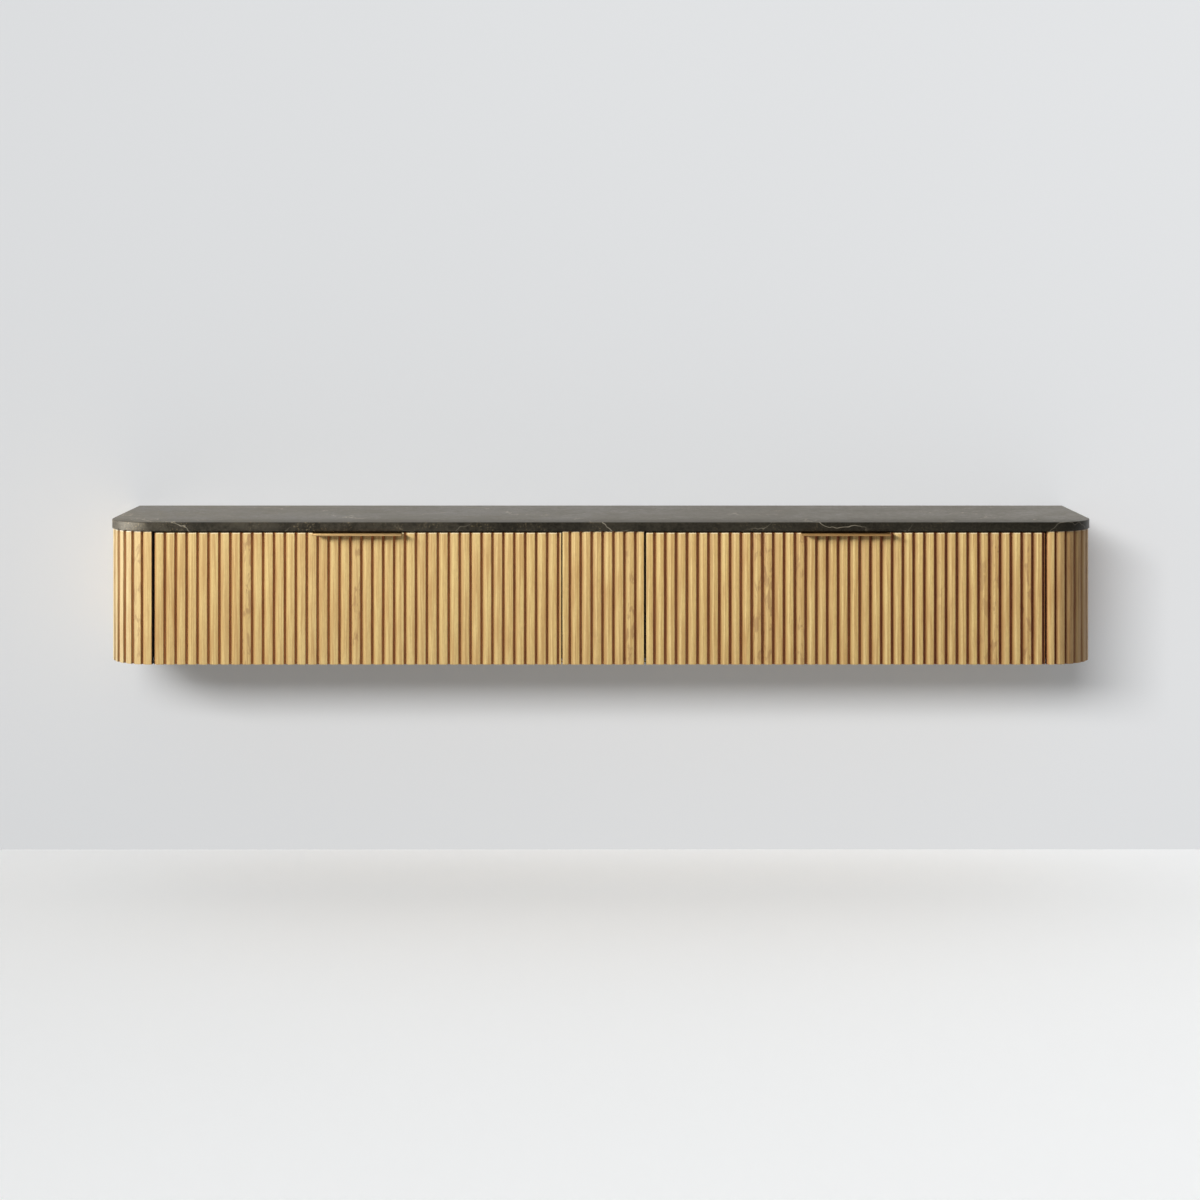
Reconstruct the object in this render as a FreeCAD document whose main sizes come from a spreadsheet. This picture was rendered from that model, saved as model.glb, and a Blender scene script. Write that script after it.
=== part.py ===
import FreeCAD, Part
import Sketcher
import math
import os
import re
from FreeCAD import Vector

# Floating media console, in millimetres. +X runs to the viewer's right, the front faces -Y, +Z is up.
# The wall is the plane Y = 0, and the origin is the middle bolt hole of the wall cleat.
SIZES = {
    # cabinet body, without the stone
    "body_width": 2129,
    "body_depth": 404,
    "body_height": 286,
    "corner_radius": 99,
    "bolt_line_drop": 94,  # from the stone's underside down to the wall bolts
    # stone top
    "stone_thick": 20,
    "stone_overhang": 2.5,
    "stone_arris": 1.5,
    # fronts: the ends' straight faces before their corners, and the centre panel's seams from the middle
    "left_end_flat": 3,
    "right_end_flat": 9.3,
    "left_inner_seam": 83.7,
    "right_inner_seam": 95.1,
    "seam_gap": 3,
    "door_top_gap": 3,
    "cladding": 12,  # thickness of the reeded oak
    "door_core": 16,
    "carcass_setback": 5,  # doors' back face to the carcass's front edges
    # reeds
    "reed_pitch": 23.45,
    "right_door_pitch": 23.2,
    "right_door_lead": 20.3,  # inner seam to the right door's first groove
    "left_end_lead": 24.9,  # outer seam to the first groove of the end shell, along its face
    "right_end_lead": 20.4,
    "groove_width": 3.9,
    "groove_depth": 7,
    "reed_crown": 2.2,  # how far a reed's round face falls from its crest to its edge
    # carcass boards
    "board": 18,
    "back_board": 12,
    # wall fixing
    "cleat_thick": 18,
    "cleat_end_gap": 114.5,
    "rail_height": 70,
    "bolt_spacing": 406.4,
    "bolt_hole_radius": 4.25,
    "channel_height": 20,  # the long channel in the wall cleat's front, which the bolts' heads lie in
    "channel_depth": 6,
    "spacer_width": 60,
    "spacer_height": 40,
    "spacer_inset": 230,
    # cable ports: slots with round ends through the back panel
    "port_radius": 22,
    "port_run": 70,  # between the centres of the round ends
    "port_height": 60,  # above the cabinet floor
    # door hinges: the pin's axis inside the door's lower back corner, and the block that it turns in
    "hinge_inset": 9,
    "hinge_height": 9,
    "pin_radius": 3,
    "pin_in_door": 20,
    "pin_in_block": 12,
    "pin_clearance": 0.05,
    "block_half": 5.5,
    "block_length": 14,
    # edge pulls
    "pull_length": 191,
    "pull_sheet": 2,
    "pull_reach": 17,  # in front of the reeds
    "pull_lip": 5,
    "pull_leg": 12,
    "pull_bend": 1.5,
    # magnetic catches
    "catch_width": 46,
    "catch_depth": 24,
    "catch_height": 13,
    "catch_slot": 3,
    "catch_gap": 0.3,
    "strike_width": 40,
    "strike_height": 12,
    "strike_thick": 1.5,
    # flap stays, in the plane of the door's swing, measured from the hinge pin
    "stay_back": 70,
    "stay_rise": 60,
    "reach_back": 20,
    "reach_up": 162,
    "housing_length": 58,
    "housing_half_width": 15,
    "housing_thick": 9,
    "stay_sheet": 3,
    "stay_side_gap": 0.5,
    "arm_half_width": 9,
    "link_half_width": 8,
    "post_radius": 5,
    "elbow_radius": 3.5,
    "stud_radius": 3,
    "open_pivot_clearance": 0.3,
    "ear_half_width": 7,
    "bracket_sheet": 2.5,
    "bracket_half_height": 16,
    "bracket_width": 22,
}

BOLT_COUNT = 5
TINY = 1e-6  # mm, to tell a level edge from an upright one

# Levels and faces that several sub-parts share, as expressions of the sizes.
LEFT_OUTER = "(body_width / 2 - corner_radius - left_end_flat)"
RIGHT_OUTER = "(body_width / 2 - corner_radius - right_end_flat)"
BODY_BOTTOM = "bolt_line_drop - body_height"
FLOOR_TOP = "bolt_line_drop - body_height + board"
LID_BOTTOM = "bolt_line_drop - board"
DOOR_HEIGHT = "body_height - door_top_gap"
FRONT = "-body_depth"
CORE_FRONT = "-body_depth + cladding"
DOOR_BACK = "-body_depth + cladding + door_core"
CARCASS_FRONT = "-body_depth + cladding + door_core + carcass_setback"
BACK_FRONT = "-cleat_thick - back_board"
BACK_REAR = "-cleat_thick"
HINGE_Y = "-body_depth + cladding + door_core - hinge_inset"
HINGE_Z = "bolt_line_drop - body_height + hinge_height"
CORNER_Y = "-body_depth + corner_radius"
FIXED_CORE = "(door_core + carcass_setback)"
INNER_HALF = "(body_width / 2 - cladding - door_core - carcass_setback)"
INNER_RADIUS = "(corner_radius - cladding - door_core - carcass_setback)"
CLEAT_LENGTH = "(body_width - 2 * cleat_end_gap)"

doc = FreeCAD.newDocument("media_console")
sheet = doc.addObject("Spreadsheet::Sheet", "sizes")
sub_parts = []


def fill_sheet():
    for row, (name, value) in enumerate(SIZES.items(), start=1):
        sheet.set(f"A{row}", name)
        sheet.set(f"B{row}", str(value))
        sheet.setAlias(f"B{row}", name)
    doc.recompute()


def sized(text):
    """The expression with each size named as the sheet's cell."""
    return re.sub(r"[a-z_]+", lambda word: f"sizes.{word[0]}" if word[0] in SIZES else word[0], text)


def bind(target, path, text):
    target.setExpression(path, sized(text))


def value_of(text):
    return float(sheet.evalExpression(sized(text)))


def place(target, x="0", y="0", z="0"):
    for axis, text in zip("xyz", (x, y, z)):
        bind(target, f"Placement.Base.{axis}", text)


def new_body(label, x="0", y="0", z="0", several=False):
    body = doc.addObject("PartDesign::Body", label)
    body.Label = label
    body.AllowCompound = several
    place(body, x, y, z)
    sub_parts.append(body)
    return body


def new_sketch(body, role, name, offset="0"):
    """A sketch on one of the body's origin planes, moved along the plane's normal by offset."""
    sketch = body.newObject("Sketcher::SketchObject", name)
    plane = next(feature for feature in body.Origin.OriginFeatures if feature.Role == role)
    sketch.AttachmentSupport = [(plane, "")]
    sketch.MapMode = "FlatFace"
    bind(sketch, "AttachmentOffset.Base.z", offset)
    return sketch


def fix(sketch, kind, where, text):
    """A dimension of the sketch, bound to the sheet."""
    index = sketch.addConstraint(Sketcher.Constraint(kind, *where, value_of(text)))
    bind(sketch, f"Constraints[{index}]", text)


def fix_point(sketch, curve, end, x, y):
    fix(sketch, "DistanceX", (-1, 1, curve, end), x)
    fix(sketch, "DistanceY", (-1, 1, curve, end), y)


def arc_between(start, end, radius):
    """The short counter-clockwise arc of this radius from start to end."""
    chord = end - start
    inward = Vector(-chord.y, chord.x, 0).normalize()
    rise = math.sqrt(radius * radius - chord.Length * chord.Length / 4)
    centre = (start + end) * 0.5 + inward * rise
    return Part.Arc(start, centre - inward * radius, end)


def outline(sketch, corners):
    """A closed outline. A corner that an arc leaves is (x, y, radius, turn), where turn 1 is to the left."""
    points = [Vector(value_of(corner[0]), value_of(corner[1]), 0) for corner in corners]
    first = sketch.GeometryCount
    starts = []
    for number, corner in enumerate(corners):
        here, there = points[number], points[(number + 1) % len(points)]
        if len(corner) == 2:
            sketch.addGeometry(Part.LineSegment(here, there), False)
            starts.append((1, 2))
        else:
            leftward = corner[3] > 0
            ends = (here, there) if leftward else (there, here)
            sketch.addGeometry(arc_between(*ends, value_of(corner[2])), False)
            starts.append((1, 2) if leftward else (2, 1))
    for number, corner in enumerate(corners):
        after = (number + 1) % len(corners)
        curve = first + number
        sketch.addConstraint(
            Sketcher.Constraint("Coincident", curve, starts[number][1], first + after, starts[after][0])
        )
        fix_point(sketch, curve, starts[number][0], corner[0], corner[1])
        if len(corner) == 4:
            fix(sketch, "Radius", (curve,), corner[2])


def rectangle(sketch, x0, y0, x1, y1):
    outline(sketch, [(x0, y0), (x1, y0), (x1, y1), (x0, y1)])


def circles(sketch, centres, radius):
    for x, y in centres:
        middle = Vector(value_of(x), value_of(y), 0)
        curve = sketch.addGeometry(Part.Circle(middle, Vector(0, 0, 1), value_of(radius)), False)
        fix_point(sketch, curve, 3, x, y)
        fix(sketch, "Radius", (curve,), radius)


def slot_outline(sketch, start, end, radius):
    """A strip with round ends, from centre to centre."""
    first_centre = Vector(value_of(start[0]), value_of(start[1]), 0)
    last_centre = Vector(value_of(end[0]), value_of(end[1]), 0)
    along = (last_centre - first_centre).normalize()
    side = Vector(-along.y, along.x, 0)
    reach = value_of(radius)
    upright = math.atan2(side.y, side.x)
    circle = Part.Circle(first_centre, Vector(0, 0, 1), reach)
    near = sketch.addGeometry(Part.ArcOfCircle(circle, upright, upright + math.pi), False)
    circle = Part.Circle(last_centre, Vector(0, 0, 1), reach)
    far = sketch.addGeometry(Part.ArcOfCircle(circle, upright - math.pi, upright), False)
    edge = side * reach
    right = sketch.addGeometry(Part.LineSegment(first_centre - edge, last_centre - edge), False)
    left = sketch.addGeometry(Part.LineSegment(last_centre + edge, first_centre + edge), False)
    for joint in ((near, 2, right, 1), (far, 1, right, 2), (far, 2, left, 1), (near, 1, left, 2)):
        sketch.addConstraint(Sketcher.Constraint("Tangent", *joint))
    fix_point(sketch, near, 3, *start)
    fix_point(sketch, far, 3, *end)
    fix(sketch, "Radius", (near,), radius)


def pad(body, sketch, length, name="Pad"):
    feature = body.newObject("PartDesign::Pad", name)
    feature.Profile = sketch
    bind(feature, "Length", length)
    doc.recompute()
    return feature


def pocket(body, sketch, depth=None, along_normal=True, name="Pocket"):
    """A cut along the sketch's normal or against it, through all where no depth is given."""
    before = body.Shape.Volume
    feature = body.newObject("PartDesign::Pocket", name)
    feature.Profile = sketch
    feature.Reversed = along_normal
    if depth is None:
        feature.Type = "ThroughAll"
    else:
        bind(feature, "Length", depth)
    doc.recompute()
    if not body.Shape.Volume < before:
        raise RuntimeError(f"{body.Label}: {name} cuts nothing")
    return feature


def drill(body, role, name, centres, radius, offset="0", depth=None, along_normal=True):
    sketch = new_sketch(body, role, name + "Circles", offset)
    circles(sketch, centres, radius)
    return pocket(body, sketch, depth, along_normal, name)


def rods(body, role, name, centres, radius, offset, length):
    sketch = new_sketch(body, role, name + "Circles", offset)
    circles(sketch, centres, radius)
    return pad(body, sketch, length, name)


def board(label, x, y, z, width, depth, height):
    """A plain rectangular board, drawn from its low corner."""
    body = new_body(label, x, y, z)
    sketch = new_sketch(body, "XY_Plane", "Outline")
    rectangle(sketch, "0", "0", width, depth)
    pad(body, sketch, height, "Board")
    return body


def rounded_slab(label, half_width, front, rear, radius, z, thick):
    """A slab as long as the console whose two front corners are round."""
    body = new_body(label, z=z)
    sketch = new_sketch(body, "XY_Plane", "Outline")
    tangent_x = f"({half_width}) - ({radius})"
    tangent_y = f"({front}) + ({radius})"
    outline(sketch, [
        (f"-({half_width})", rear),
        (f"-({half_width})", tangent_y, radius, 1),
        (f"-({tangent_x})", front),
        (tangent_x, front, radius, 1),
        (half_width, tangent_y),
        (half_width, rear),
    ])
    pad(body, sketch, thick, "Slab")
    return body


def groove_outline(sketch, x, face, crest_x, crest_drop, arc_radius):
    """One groove and the half faces of the reeds beside it, up to their crests. The face looks to -Y."""
    edge = f"({face}) + reed_crown"
    floor = f"({face}) + groove_depth"
    crest = f"({face}) + ({crest_drop})"
    clear = f"({face}) - groove_depth"
    outline(sketch, [
        (f"({x}) - ({crest_x})", crest, arc_radius, 1),
        (f"({x}) - groove_width / 2", edge),
        (f"({x}) - groove_width / 2", floor),
        (f"({x}) + groove_width / 2", floor),
        (f"({x}) + groove_width / 2", edge, arc_radius, 1),
        (f"({x}) + ({crest_x})", crest),
        (f"({x}) + ({crest_x})", clear),
        (f"({x}) - ({crest_x})", clear),
    ])


def flat_groove(sketch, x, face, pitch):
    """A groove of a flat run of reeds. Each reed's face is an arc that is level at its crest."""
    half_face = f"(({pitch}) - groove_width) / 2"
    arc_radius = f"(({half_face})^2 + reed_crown^2) / (2 * reed_crown)"
    groove_outline(sketch, x, face, f"({pitch}) / 2", "0", arc_radius)


def corner_groove(sketch):
    """A groove of the reeds round a corner, drawn about the corner's centre."""
    half_turn = "(reed_pitch / corner_radius * 90 / pi * 1 deg)"
    crest_x = f"corner_radius * sin({half_turn})"
    crest_drop = f"corner_radius * (1 - cos({half_turn}))"
    fall = f"({crest_drop} + reed_crown * cos({half_turn}) - groove_width / 2 * sin({half_turn}))"
    chord_squared = f"(({crest_x} - groove_width / 2)^2 + (reed_crown - {crest_drop})^2)"
    groove_outline(sketch, "0", "-corner_radius", crest_x, crest_drop, f"{chord_squared} / (2 * {fall})")


def turn_sketch(sketch, x, y, angle):
    """Moves the sketch's own origin to x, y and turns it there by angle, in degrees."""
    bind(sketch, "AttachmentOffset.Base.x", x)
    bind(sketch, "AttachmentOffset.Base.y", y)
    bind(sketch, "AttachmentOffset.Rotation.Angle", angle)


def repeat_row(body, cut, axis, pitch, count, name):
    row = body.newObject("PartDesign::LinearPattern", name)
    row.Originals = [cut]
    direction = next(feature for feature in body.Origin.OriginFeatures if feature.Role == axis)
    row.Direction = (direction, [""])
    row.Mode = "Spacing"
    bind(row, "Offset", pitch)
    bind(row, "Occurrences", count)
    body.Tip = row
    doc.recompute()


def reeded_panel(label, x0, x1, height, first, pitch):
    """A flat oak facing whose grooves start at first and run to its right-hand edge."""
    body = new_body(label, z=BODY_BOTTOM)
    sketch = new_sketch(body, "XY_Plane", "Outline")
    rectangle(sketch, x0, FRONT, x1, CORE_FRONT)
    pad(body, sketch, height, "Facing")
    sketch = new_sketch(body, "XY_Plane", "GrooveOutline")
    flat_groove(sketch, first, FRONT, pitch)
    cut = pocket(body, sketch, name="FirstGroove")
    repeat_row(body, cut, "X_Axis", pitch, f"floor((({x1}) - ({first})) / ({pitch})) + 1", "Grooves")
    return body


def make_stone_top():
    body = rounded_slab(
        "stone_top", "body_width / 2 + stone_overhang", "-body_depth - stone_overhang", "0",
        "corner_radius + stone_overhang", "bolt_line_drop", "stone_thick",
    )
    slab = body.Tip
    rim = []
    for number, edge in enumerate(slab.Shape.Edges, start=1):
        box = edge.BoundBox
        if box.ZLength < TINY and box.YMin < -TINY:
            rim.append(f"Edge{number}")
    arris = body.newObject("PartDesign::Chamfer", "Arris")
    arris.Base = (slab, rim)
    bind(arris, "Size", "stone_arris")
    doc.recompute()


def upright_places():
    """Each upright: its low X, the X of its face to the compartment, and the way into that compartment."""
    left_end = f"-{LEFT_OUTER} - seam_gap / 2"
    left_middle = "-left_inner_seam + seam_gap / 2"
    right_middle = "right_inner_seam - seam_gap / 2"
    right_end = f"{RIGHT_OUTER} + seam_gap / 2"
    return {
        "left_end_panel": (f"{left_end} - board", left_end, 1),
        "left_divider": (left_middle, left_middle, -1),
        "right_divider": (f"{right_middle} - board", right_middle, 1),
        "right_end_panel": (right_end, right_end, -1),
    }


def make_carcass():
    for label, rear, z in (("top_panel", "0", LID_BOTTOM), ("bottom_panel", BACK_REAR, BODY_BOTTOM)):
        rounded_slab(label, INNER_HALF, CARCASS_FRONT, rear, INNER_RADIUS, z, "board")
    places = upright_places()
    depth = f"{BACK_FRONT} - ({CARCASS_FRONT})"
    height = "body_height - 2 * board"
    for label in ("left_divider", "right_divider"):
        board(label, places[label][0], CARCASS_FRONT, FLOOR_TOP, "board", depth, height)
    make_end_panel("left_end_panel", places["left_end_panel"][0], -1, "left_end_flat", depth, height)
    make_end_panel("right_end_panel", places["right_end_panel"][0], 1, "right_end_flat", depth, height)
    make_back_panel()


def make_end_panel(label, low_x, side, flat, depth, height):
    """A compartment's end wall, bevelled clear of the bent core at the front corner on the side given."""
    run = f"min(max(seam_gap / 2 + board - {flat}; board / 20); board * 0.95)"
    rise = f"{INNER_RADIUS} - sqrt({INNER_RADIUS}^2 - ({run})^2)"
    body = new_body(label, low_x, CARCASS_FRONT, FLOOR_TOP)
    sketch = new_sketch(body, "XY_Plane", "Outline")
    if side < 0:
        corners = [(run, "0"), ("board", "0"), ("board", depth), ("0", depth), ("0", rise)]
    else:
        corners = [("0", "0"), (f"board - {run}", "0"), ("board", rise), ("board", depth), ("0", depth)]
    outline(sketch, corners)
    pad(body, sketch, height, "Board")


def make_back_panel():
    """The back, with a slot for cables in each compartment."""
    body = new_body("back_panel", f"-{INNER_HALF}", BACK_FRONT, FLOOR_TOP)
    sketch = new_sketch(body, "XY_Plane", "Outline")
    rectangle(sketch, "0", "0", f"2 * {INNER_HALF}", "back_board")
    pad(body, sketch, "body_height - 2 * board", "Board")
    ports = new_sketch(body, "XZ_Plane", "PortOutlines")
    for door in ("left", "right"):
        middle = f"{INNER_HALF} + {door_middle(door)}"
        slot_outline(
            ports, (f"{middle} - port_run / 2", "port_height"), (f"{middle} + port_run / 2", "port_height"),
            "port_radius",
        )
    pocket(body, ports, along_normal=False, name="CablePorts")


def make_wall_fixing():
    """The hooked cleats, one for the wall and one on the cabinet's back, and the spacers below them."""
    top = "rail_height / 2"
    hook = f"{top} - cleat_thick"
    start = f"-{CLEAT_LENGTH} / 2"

    hanging = new_body("hanging_cleat", start)
    sketch = new_sketch(hanging, "YZ_Plane", "Section")
    outline(sketch, [(BACK_REAR, top), ("0", hook), ("0", LID_BOTTOM), (BACK_REAR, LID_BOTTOM)])
    pad(hanging, sketch, CLEAT_LENGTH, "Strip")

    rail = new_body("wall_cleat", start)
    sketch = new_sketch(rail, "YZ_Plane", "Section")
    channel = f"{BACK_REAR} + channel_depth"
    outline(sketch, [
        (BACK_REAR, f"-{top}"),
        ("0", f"-{top}"),
        ("0", hook),
        (BACK_REAR, top),
        (BACK_REAR, "channel_height / 2"),
        (channel, "channel_height / 2"),
        (channel, "-channel_height / 2"),
        (BACK_REAR, "-channel_height / 2"),
    ])
    pad(rail, sketch, CLEAT_LENGTH, "Strip")
    middle = (BOLT_COUNT - 1) / 2
    bolts = [(f"{CLEAT_LENGTH} / 2 + {number - middle} * bolt_spacing", "0") for number in range(BOLT_COUNT)]
    drill(rail, "XZ_Plane", "BoltHoles", bolts, "bolt_hole_radius")

    spacers = new_body("wall_spacers", z=FLOOR_TOP, several=True)
    sketch = new_sketch(spacers, "XY_Plane", "Outline")
    for side in (-1, 1):
        middle_x = f"{side} * (body_width / 2 - spacer_inset)"
        rectangle(sketch, f"{middle_x} - spacer_width / 2", BACK_REAR, f"{middle_x} + spacer_width / 2", "0")
    pad(spacers, sketch, "spacer_height", "Blocks")


def shell_layer(label, side, seam, depth, thick):
    """One layer of an end shell, from its seam round the corner to the wall, at a depth inside the reeds."""
    body = new_body(label, z=BODY_BOTTOM)
    sketch = new_sketch(body, "XY_Plane", "Outline")
    tangent_x = f"{side} * (body_width / 2 - corner_radius)"
    outer_face = f"{FRONT} + ({depth})"
    inner_face = f"{FRONT} + ({depth}) + ({thick})"
    outer_x = f"{side} * (body_width / 2 - ({depth}))"
    inner_x = f"{side} * (body_width / 2 - ({depth}) - ({thick}))"
    outline(sketch, [
        (seam, outer_face),
        (tangent_x, outer_face, f"corner_radius - ({depth})", side),
        (outer_x, CORNER_Y),
        (outer_x, "0"),
        (inner_x, "0"),
        (inner_x, CORNER_Y, f"corner_radius - ({depth}) - ({thick})", -side),
        (tangent_x, inner_face),
        (seam, inner_face),
    ])
    pad(body, sketch, "body_height", "Layer")
    return body


def end_shell(name, side, seam_middle, flat, lead):
    """A reeded skin over a bent core, wrapping one front corner of the cabinet back to the wall."""
    seam = f"{side} * ({seam_middle} + seam_gap / 2)"
    core = shell_layer(f"{name}_end_core", side, seam, "cladding", FIXED_CORE)
    block_mortise(core, seam, side)
    skin = shell_layer(f"{name}_end_reeds", side, seam, "0", "cladding")

    sketch = new_sketch(skin, "XY_Plane", "SeamGrooveOutline")
    flat_groove(sketch, f"{side} * {seam_middle}", FRONT, "reed_pitch")
    pocket(skin, sketch, name="SeamGroove")

    bend_end = f"({flat} + corner_radius * pi / 2)"
    bend_count = f"(floor(({bend_end} - {lead}) / reed_pitch) + 1)"
    sketch = new_sketch(skin, "XY_Plane", "CornerGrooveOutline")
    corner_x = f"{side} * (body_width / 2 - corner_radius)"
    turn_sketch(sketch, corner_x, CORNER_Y, f"{side} * ({lead} - {flat}) / corner_radius * 180 / pi")
    corner_groove(sketch)
    cut = pocket(skin, sketch, name="CornerGroove")
    fan = skin.newObject("PartDesign::PolarPattern", "CornerGrooves")
    fan.Originals = [cut]
    fan.Axis = (sketch, ["N_Axis"])
    fan.Mode = "Spacing"
    fan.Reversed = side < 0
    bind(fan, "Offset", "reed_pitch / corner_radius * 180 / pi")
    bind(fan, "Occurrences", bend_count)
    skin.Tip = fan
    doc.recompute()

    first = f"({lead} + {bend_count} * reed_pitch - {bend_end})"
    sketch = new_sketch(skin, "XY_Plane", "SideGrooveOutline")
    turn_sketch(sketch, f"{side} * body_width / 2", f"{CORNER_Y} + {first}", f"{side} * 90")
    flat_groove(sketch, "0", "0", "reed_pitch")
    cut = pocket(skin, sketch, name="SideGroove")
    count = f"floor((body_depth - corner_radius - {first}) / reed_pitch) + 1"
    repeat_row(skin, cut, "Y_Axis", "reed_pitch", count, "SideGrooves")


def block_mortise(body, face_x, way):
    """The square hole for a hinge block, into a fixed core from its seam edge; way is the way it goes in."""
    name = "RightMortise" if way < 0 else "LeftMortise"
    sketch = new_sketch(body, "YZ_Plane", name + "Outline", face_x)
    rectangle(
        sketch, f"{HINGE_Y} - block_half", "hinge_height - block_half",
        f"{HINGE_Y} + block_half", "hinge_height + block_half",
    )
    pocket(body, sketch, "block_length", way > 0, name)


def make_centre_panel():
    x0 = "-left_inner_seam + seam_gap / 2"
    x1 = "right_inner_seam - seam_gap / 2"
    core = new_body("centre_core", z=BODY_BOTTOM)
    sketch = new_sketch(core, "XY_Plane", "Outline")
    rectangle(sketch, x0, CORE_FRONT, x1, CARCASS_FRONT)
    pad(core, sketch, "body_height", "Board")
    block_mortise(core, x0, 1)
    block_mortise(core, x1, -1)
    count = "floor((right_inner_seam + left_inner_seam) / reed_pitch)"
    first = f"right_inner_seam - {count} * reed_pitch"
    reeded_panel("centre_reeds", x0, x1, "body_height", first, "reed_pitch")


def door_ends():
    """Each door end: its door, the X of the compartment wall there and the way from that wall to the door."""
    walls = upright_places()
    return {
        "left_outer": ("left", *walls["left_end_panel"][1:]),
        "left_inner": ("left", *walls["left_divider"][1:]),
        "right_inner": ("right", *walls["right_divider"][1:]),
        "right_outer": ("right", *walls["right_end_panel"][1:]),
    }


def across(wall, way, start, stop):
    """Low X and length of a piece that spans start to stop from a compartment wall."""
    low = f"({wall}) + ({start})" if way > 0 else f"({wall}) - ({stop})"
    return low, f"({stop}) - ({start})"


def make_hinge_blocks():
    """The nylon blocks that the doors' pins turn in, let into the fixed cores."""
    body = new_body("hinge_blocks", y=HINGE_Y, z=HINGE_Z, several=True)
    for name, (_, wall, way) in door_ends().items():
        low, length = across(wall, way, "-block_length", "0")
        sketch = new_sketch(body, "YZ_Plane", f"{name}_outline", low)
        rectangle(sketch, "-block_half", "-block_half", "block_half", "block_half")
        circles(sketch, [("0", "0")], "pin_radius + pin_clearance")
        pad(body, sketch, length, f"{name}_block")


def door_span(door):
    if door == "left":
        return f"(-{LEFT_OUTER} + seam_gap / 2)", "(-left_inner_seam - seam_gap / 2)"
    return "(right_inner_seam + seam_gap / 2)", f"({RIGHT_OUTER} - seam_gap / 2)"


def door_middle(door):
    x0, x1 = door_span(door)
    return f"({x0} + {x1}) / 2"


def make_door(door):
    x0, x1 = door_span(door)
    pull_low = f"{door_middle(door)} - pull_length / 2"
    pull_high = f"{door_middle(door)} + pull_length / 2"

    core = new_body(f"{door}_door_core", z=BODY_BOTTOM)
    sketch = new_sketch(core, "XY_Plane", "Outline")
    rectangle(sketch, x0, CORE_FRONT, x1, DOOR_BACK)
    pad(core, sketch, DOOR_HEIGHT, "Board")
    pin_axis = [(HINGE_Y, "hinge_height")]
    drill(core, "YZ_Plane", "LeftPinHole", pin_axis, "pin_radius", x0, "pin_in_door")
    drill(core, "YZ_Plane", "RightPinHole", pin_axis, "pin_radius", x1, "pin_in_door", False)
    pull_rebate(core, pull_low, pull_high)

    first = f"-{LEFT_OUTER}" if door == "left" else "right_inner_seam + right_door_lead"
    pitch = "reed_pitch" if door == "left" else "right_door_pitch"
    reeds = reeded_panel(f"{door}_door_reeds", x0, x1, DOOR_HEIGHT, first, pitch)
    pull_rebate(reeds, pull_low, pull_high)

    make_pull(door, pull_low)
    make_hinge_pins(door, x0, x1)
    make_catch(door)


def pull_rebate(body, low, high):
    """The step in a door's top edge that the pull's flat lies in."""
    sketch = new_sketch(body, "XY_Plane", "RebateOutline", DOOR_HEIGHT)
    rectangle(sketch, low, FRONT, high, DOOR_BACK)
    pocket(body, sketch, "pull_sheet", False, "Rebate")


def make_pull(door, low):
    """A folded strip: a leg behind the door, a flat over its top edge and a lip turned down in front."""
    body = new_body(f"{door}_pull", low, z=BODY_BOTTOM)
    top = DOOR_HEIGHT
    nose = f"{FRONT} - pull_reach"
    leg_back = f"{DOOR_BACK} + pull_sheet"
    sketch = new_sketch(body, "YZ_Plane", "Section")
    outline(sketch, [
        (nose, f"{top} - pull_lip"),
        (f"{nose} + pull_sheet", f"{top} - pull_lip"),
        (f"{nose} + pull_sheet", f"{top} - pull_sheet"),
        (DOOR_BACK, f"{top} - pull_sheet"),
        (DOOR_BACK, f"{top} - pull_leg"),
        (leg_back, f"{top} - pull_leg"),
        (leg_back, f"{top} - pull_bend", "pull_bend", 1),
        (f"{leg_back} - pull_bend", top),
        (f"{nose} + pull_bend", top, "pull_bend", 1),
        (nose, f"{top} - pull_bend"),
    ])
    pad(body, sketch, "pull_length", "Strip")


def make_hinge_pins(door, x0, x1):
    body = new_body(f"{door}_hinge_pins", y=HINGE_Y, z=HINGE_Z, several=True)
    length = "pin_in_door + seam_gap + pin_in_block"
    rods(body, "YZ_Plane", "LeftPin", [("0", "0")], "pin_radius", f"{x0} - seam_gap - pin_in_block", length)
    rods(body, "YZ_Plane", "RightPin", [("0", "0")], "pin_radius", f"{x1} - pin_in_door", length)


def make_catch(door):
    """A magnet block under the lid, with slots between its poles, and the steel plate on the door."""
    middle = door_middle(door)
    body = board(
        f"{door}_catch", f"{middle} - catch_width / 2", f"{DOOR_BACK} + strike_thick + catch_gap",
        f"{LID_BOTTOM} - catch_height", "catch_width", "catch_depth", "catch_height",
    )
    slots = new_sketch(body, "XY_Plane", "PoleSlots")
    for start in ("catch_width / 4", "catch_width * 3 / 4 - catch_slot"):
        rectangle(slots, start, "-catch_slot", f"{start} + catch_slot", "catch_slot")
    pocket(body, slots, name="Poles")
    strike_low = f"{LID_BOTTOM} - catch_height / 2 - strike_height / 2"
    board(
        f"{door}_strike", f"{middle} - strike_width / 2", DOOR_BACK, strike_low,
        "strike_width", "strike_thick", "strike_height",
    )


def stay_layers():
    """How far each layer of a stay lies from its compartment wall."""
    arm = "housing_thick + stay_side_gap"
    arm_end = f"{arm} + stay_sheet"
    link = f"{arm_end} + stay_side_gap"
    link_end = f"{link} + stay_sheet"
    ear = f"{link_end} + stay_side_gap"
    return {
        "arm": (arm, arm_end),
        "link": (link, link_end),
        "ear": (ear, f"{ear} + bracket_sheet"),
        "flange": (ear, f"{ear} + bracket_width"),
    }


def stay_body(label):
    return new_body(label, y=HINGE_Y, z=HINGE_Z)


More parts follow.
